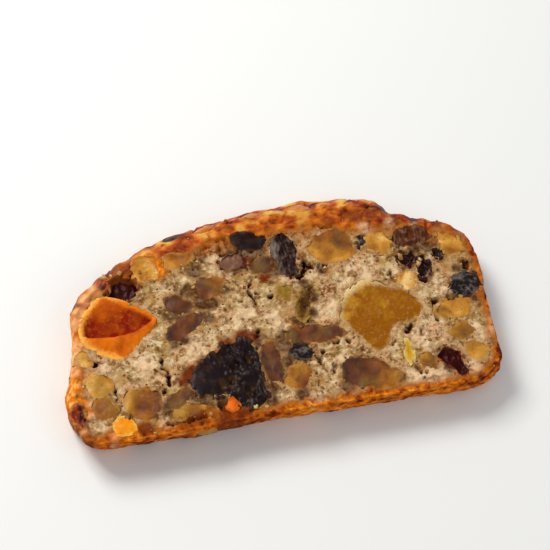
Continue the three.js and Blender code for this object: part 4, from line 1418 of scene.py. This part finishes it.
glazed = walnut_kernel("glazed_walnut_kernel", 0.3, "#B85E12")
finishes = {"walnut": walnut_kernel("baked_walnut_kernel", 0.46, "#AA7E44")}
special = {node: glazed for node in CRUST_PIECES + ["walnut_9"] if node.startswith("walnut")}
print("kernels:", finishes["walnut"].name, "and", glazed.name)

# %% [markdown]
# ### Dried dark fruit
# Prune, fig, date and raisin are the same stuff to the eye: sugar-rich skin, near black, with a
# waxy bloom that turns its sheen blue-grey, and brown flesh where the skin is open. The bloom's
# colour on the ridges is partly real bloom and partly painted highlight, where a ridge catches
# the light. They share one recipe with their own colours. A few pieces differ: torn raisins show
# their hollow, one date lies open, and one raisin burst at the crust.

# %% Dark fruit
def dark_fruit(name, codes, roughness, bloom_and_highlight):
    """Waxy dark skin with bloom and painted highlight on its ridges, and flesh by each vertex's tone."""
    skin_code, bloom_and_highlight_code, flesh_code, bed = codes
    material, tree = new_material(name)
    here = in_millimetres(tree)
    tone, rim, fold = (add(tree, "Attribute", out="Fac", attribute_name=n)
                       for n in ("tone", "rim", "fold"))
    # blotches 1.7 mm wide and fine wrinkles 0.5 mm
    blotch = add(tree, "TexNoise", {"Vector": here, "Scale": 0.6, "Detail": 3.0})
    fine = add(tree, "TexNoise", {"Vector": here, "Scale": 2.0, "Detail": 2.0})
    uneven = add(tree, "MapRange", (blotch, 0.38, 0.66, -0.25, 0.25))
    flesh = add(tree, "Math", (tone, uneven), operation="ADD", use_clamp=True)
    # bloom colour on the ridges: partly real bloom, partly painted highlight
    ridge_bloom_and_highlight = add(tree, "MapRange", (fold, 0.2, 1.0, 0.0, bloom_and_highlight))
    worn = add(tree, "MapRange", (blotch, 0.44, 0.62))
    ridge_bloom_and_highlight = add(tree, "Math", (ridge_bloom_and_highlight, worn), operation="MULTIPLY")
    colour = layered(tree, skin_code, [(flesh, flesh_code), (ridge_bloom_and_highlight, bloom_and_highlight_code)])
    surface(tree, smeared(tree, here, colour, rim, bed), fine, 0.3, 0.2, {
        "Roughness": roughness, "IOR": 1.47, "Specular IOR Level": 0.08,
        "Coat Weight": 0.06, "Coat Roughness": 0.25,
        "Subsurface Weight": 0.06, "Subsurface Radius": (1.0, 0.35, 0.15),
        "Subsurface Scale": 1.0 * MM})
    return material


# skin, bloom and painted highlight, flesh and bed; then roughness and how strong bloom and highlight are
DARK_FRUITS = {
    "prune": ("dried_prune", ("#1A0E10", "#483E48", "#4C3014", "#4A2810"), 0.42, 0.4),
    "fig": ("dried_fig", ("#200A06", "#4E3628", "#847468", "#4A3020"), 0.5, 0.4),
    # the sunk dates: near black-red, partly their own skin, partly painted shade
    "date": ("dried_date", ("#2A0000", "#4A0E02", "#520C00", "#A0521E"), 0.5, 0.1),
    "raisin": ("dried_raisin", ("#1A1516", "#6E6A66", "#4C1E0C", "#4A3424"), 0.4, 0.8),
}
ODD_DARK_FRUITS = {
    "date_2": ("open_date", ("#441404", "#62382E", "#7E5A44", "#5A2408"), 0.45, 0.4),
    "raisin_3": ("torn_raisin", ("#240F06", "#80644E", "#62300F", "#5A3418"), 0.45, 0.7),
    "raisin_8": ("burst_raisin", ("#380402", "#9A4A34", "#9A3A10", "#B87838"), 0.4, 0.6),
}
finishes.update({kind: dark_fruit(*recipe) for kind, recipe in DARK_FRUITS.items()})
special.update({node: dark_fruit(*recipe) for node, recipe in ODD_DARK_FRUITS.items()})
# a darker copy of the raisin for the torn ones sunk in hollows: painted shade over their dark colour
hollow = dark_fruit("torn_raisin_hollow", ("#140406", "#4A3430", "#300A06", "#3A1C10"), 0.4, 0.5)
special.update({"raisin_4": hollow, "raisin_5": hollow, "raisin_6": hollow})
print("dark fruit:", len(DARK_FRUITS), "kinds and", len(ODD_DARK_FRUITS) + 1, "odd ones")

# %% [markdown]
# ### Apricot, sultana and peel
# Dried apricot lets light in: it glows amber where it is thin and deep red-orange inside a fold,
# with paler rims where it dried out. Sultanas and candied peel are clear in the same way, so one
# recipe gives all three, with much light let through and a wet sheen.

# %% Clear fruit
def clear_fruit(name, codes, value, rim_width=0.8):
    """Fruit that light enters: pale at the rim, main colour, and deep where `value` is high."""
    pale_code, main_code, deep_code = codes
    material, tree = new_material(name)
    here = in_millimetres(tree)
    deep, rim = (add(tree, "Attribute", out="Fac", attribute_name=n) for n in (value, "rim"))
    # blotches 2.5 mm wide and fine wrinkles 0.7 mm
    blotch = add(tree, "TexNoise", {"Vector": here, "Scale": 0.4, "Detail": 3.0})
    fine = add(tree, "TexNoise", {"Vector": here, "Scale": 1.5, "Detail": 3.0})
    uneven = add(tree, "MapRange", (blotch, 0.35, 0.65, -0.25, 0.25))
    deep = add(tree, "Math", (deep, uneven), operation="ADD", use_clamp=True)
    edge = add(tree, "Math", (fine, 1.6), operation="MULTIPLY")
    edge = add(tree, "Math", (rim, edge), operation="SUBTRACT")
    colour = layered(tree, main_code, [
        (deep, deep_code),
        (add(tree, "MapRange", (edge, rim_width, -0.6, 0.0, 0.95)), pale_code),
        (add(tree, "MapRange", (fine, 0.56, 0.70, 0.0, 0.12)), pale_code),
    ])
    surface(tree, colour, fine, 0.35, 0.25, {
        "Roughness": 0.36, "IOR": 1.44, "Specular IOR Level": 0.08,
        "Coat Weight": 0.08, "Coat Roughness": 0.2,
        "Subsurface Weight": 0.3, "Subsurface Radius": (1.0, 0.35, 0.08),
        "Subsurface Scale": 1.2 * MM})
    return material


# rim, main colour and deep colour; then what says how deep it is, and the rim's width in mm
finishes.update({
    "apricot": clear_fruit("dried_apricot_flesh", ("#DECA98", "#BC8A20", "#8E5200"), "deep", 2.2),
    "sultana": clear_fruit("dried_sultana", ("#A07C38", "#8C6A22", "#442004"), "tone"),
    "peel": clear_fruit("candied_peel", ("#F0BC54", "#EE9C14", "#CC5004"), "tone", 0.2),
})
special.update({
    "apricot_1": clear_fruit("dried_apricot", ("#F2B24E", "#D86E02", "#8C1800"), "deep", 0.9),
    "peel_2": clear_fruit("peel_in_crust", ("#A85010", "#F0962E", "#DC5C0E"), "tone", 0.4),
    "peel_3": clear_fruit("lemon_peel", ("#D8BC70", "#C89814", "#A87408"), "tone", 0.5),
})
print(len(finishes), "finishes by kind,", len(special), "for single pieces")

# %% [markdown]
# ### Loose crumb
# The same baked dough again, broken small: dry and matt, cream from the middle of the slice or
# brown from its crust.

# %% Loose crumb
CRUMB_TONES = [(0.0, "#D2B688"), (0.35, "#BE945A"), (0.65, "#9C6428"), (1.0, "#6A340C")]


def loose_crumb():
    """Dry crumb, from cream to brown by the tone of each one."""
    material, tree = new_material("dry_loose_crumb")
    here = in_millimetres(tree)
    tone = add(tree, "Attribute", out="Fac", attribute_name="tone")
    mottle = add(tree, "TexNoise", {"Vector": here, "Scale": 2.2, "Detail": 2.0})  # 0.5 mm wide
    uneven = add(tree, "MapRange", (mottle, 0.35, 0.65, -0.15, 0.15))
    tone = add(tree, "Math", (tone, uneven), operation="ADD")
    surface(tree, add(tree, "ValToRGB", (tone,), stops=CRUMB_TONES), mottle, 0.4, 0.2, {
        "Roughness": 0.85, "IOR": 1.45, "Specular IOR Level": 0.08,
        "Subsurface Weight": 0.15, "Subsurface Radius": (1.0, 0.5, 0.2),
        "Subsurface Scale": 0.6 * MM})
    return material


loose.data.materials.append(loose_crumb())
print("loose crumbs in", len(CRUMB_TONES), "tones")

# %% [markdown]
# ### Which finish goes where
# A piece takes the finish made for it alone, or else that of its kind.

# %% Give each piece its finish
for node, thing in pieces.items():
    thing.data.materials.append(special.get(node, finishes[node.split("_")[0]]))
print(len(pieces), "pieces finished,", len(bpy.data.materials), "materials in the file")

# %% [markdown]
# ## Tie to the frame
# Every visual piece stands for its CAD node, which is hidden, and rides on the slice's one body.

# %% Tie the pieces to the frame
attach(cake, "root")
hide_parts("crumb_and_crust")
for node, thing in pieces.items():
    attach(thing, "root")
    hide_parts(node)

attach(loose, "root")
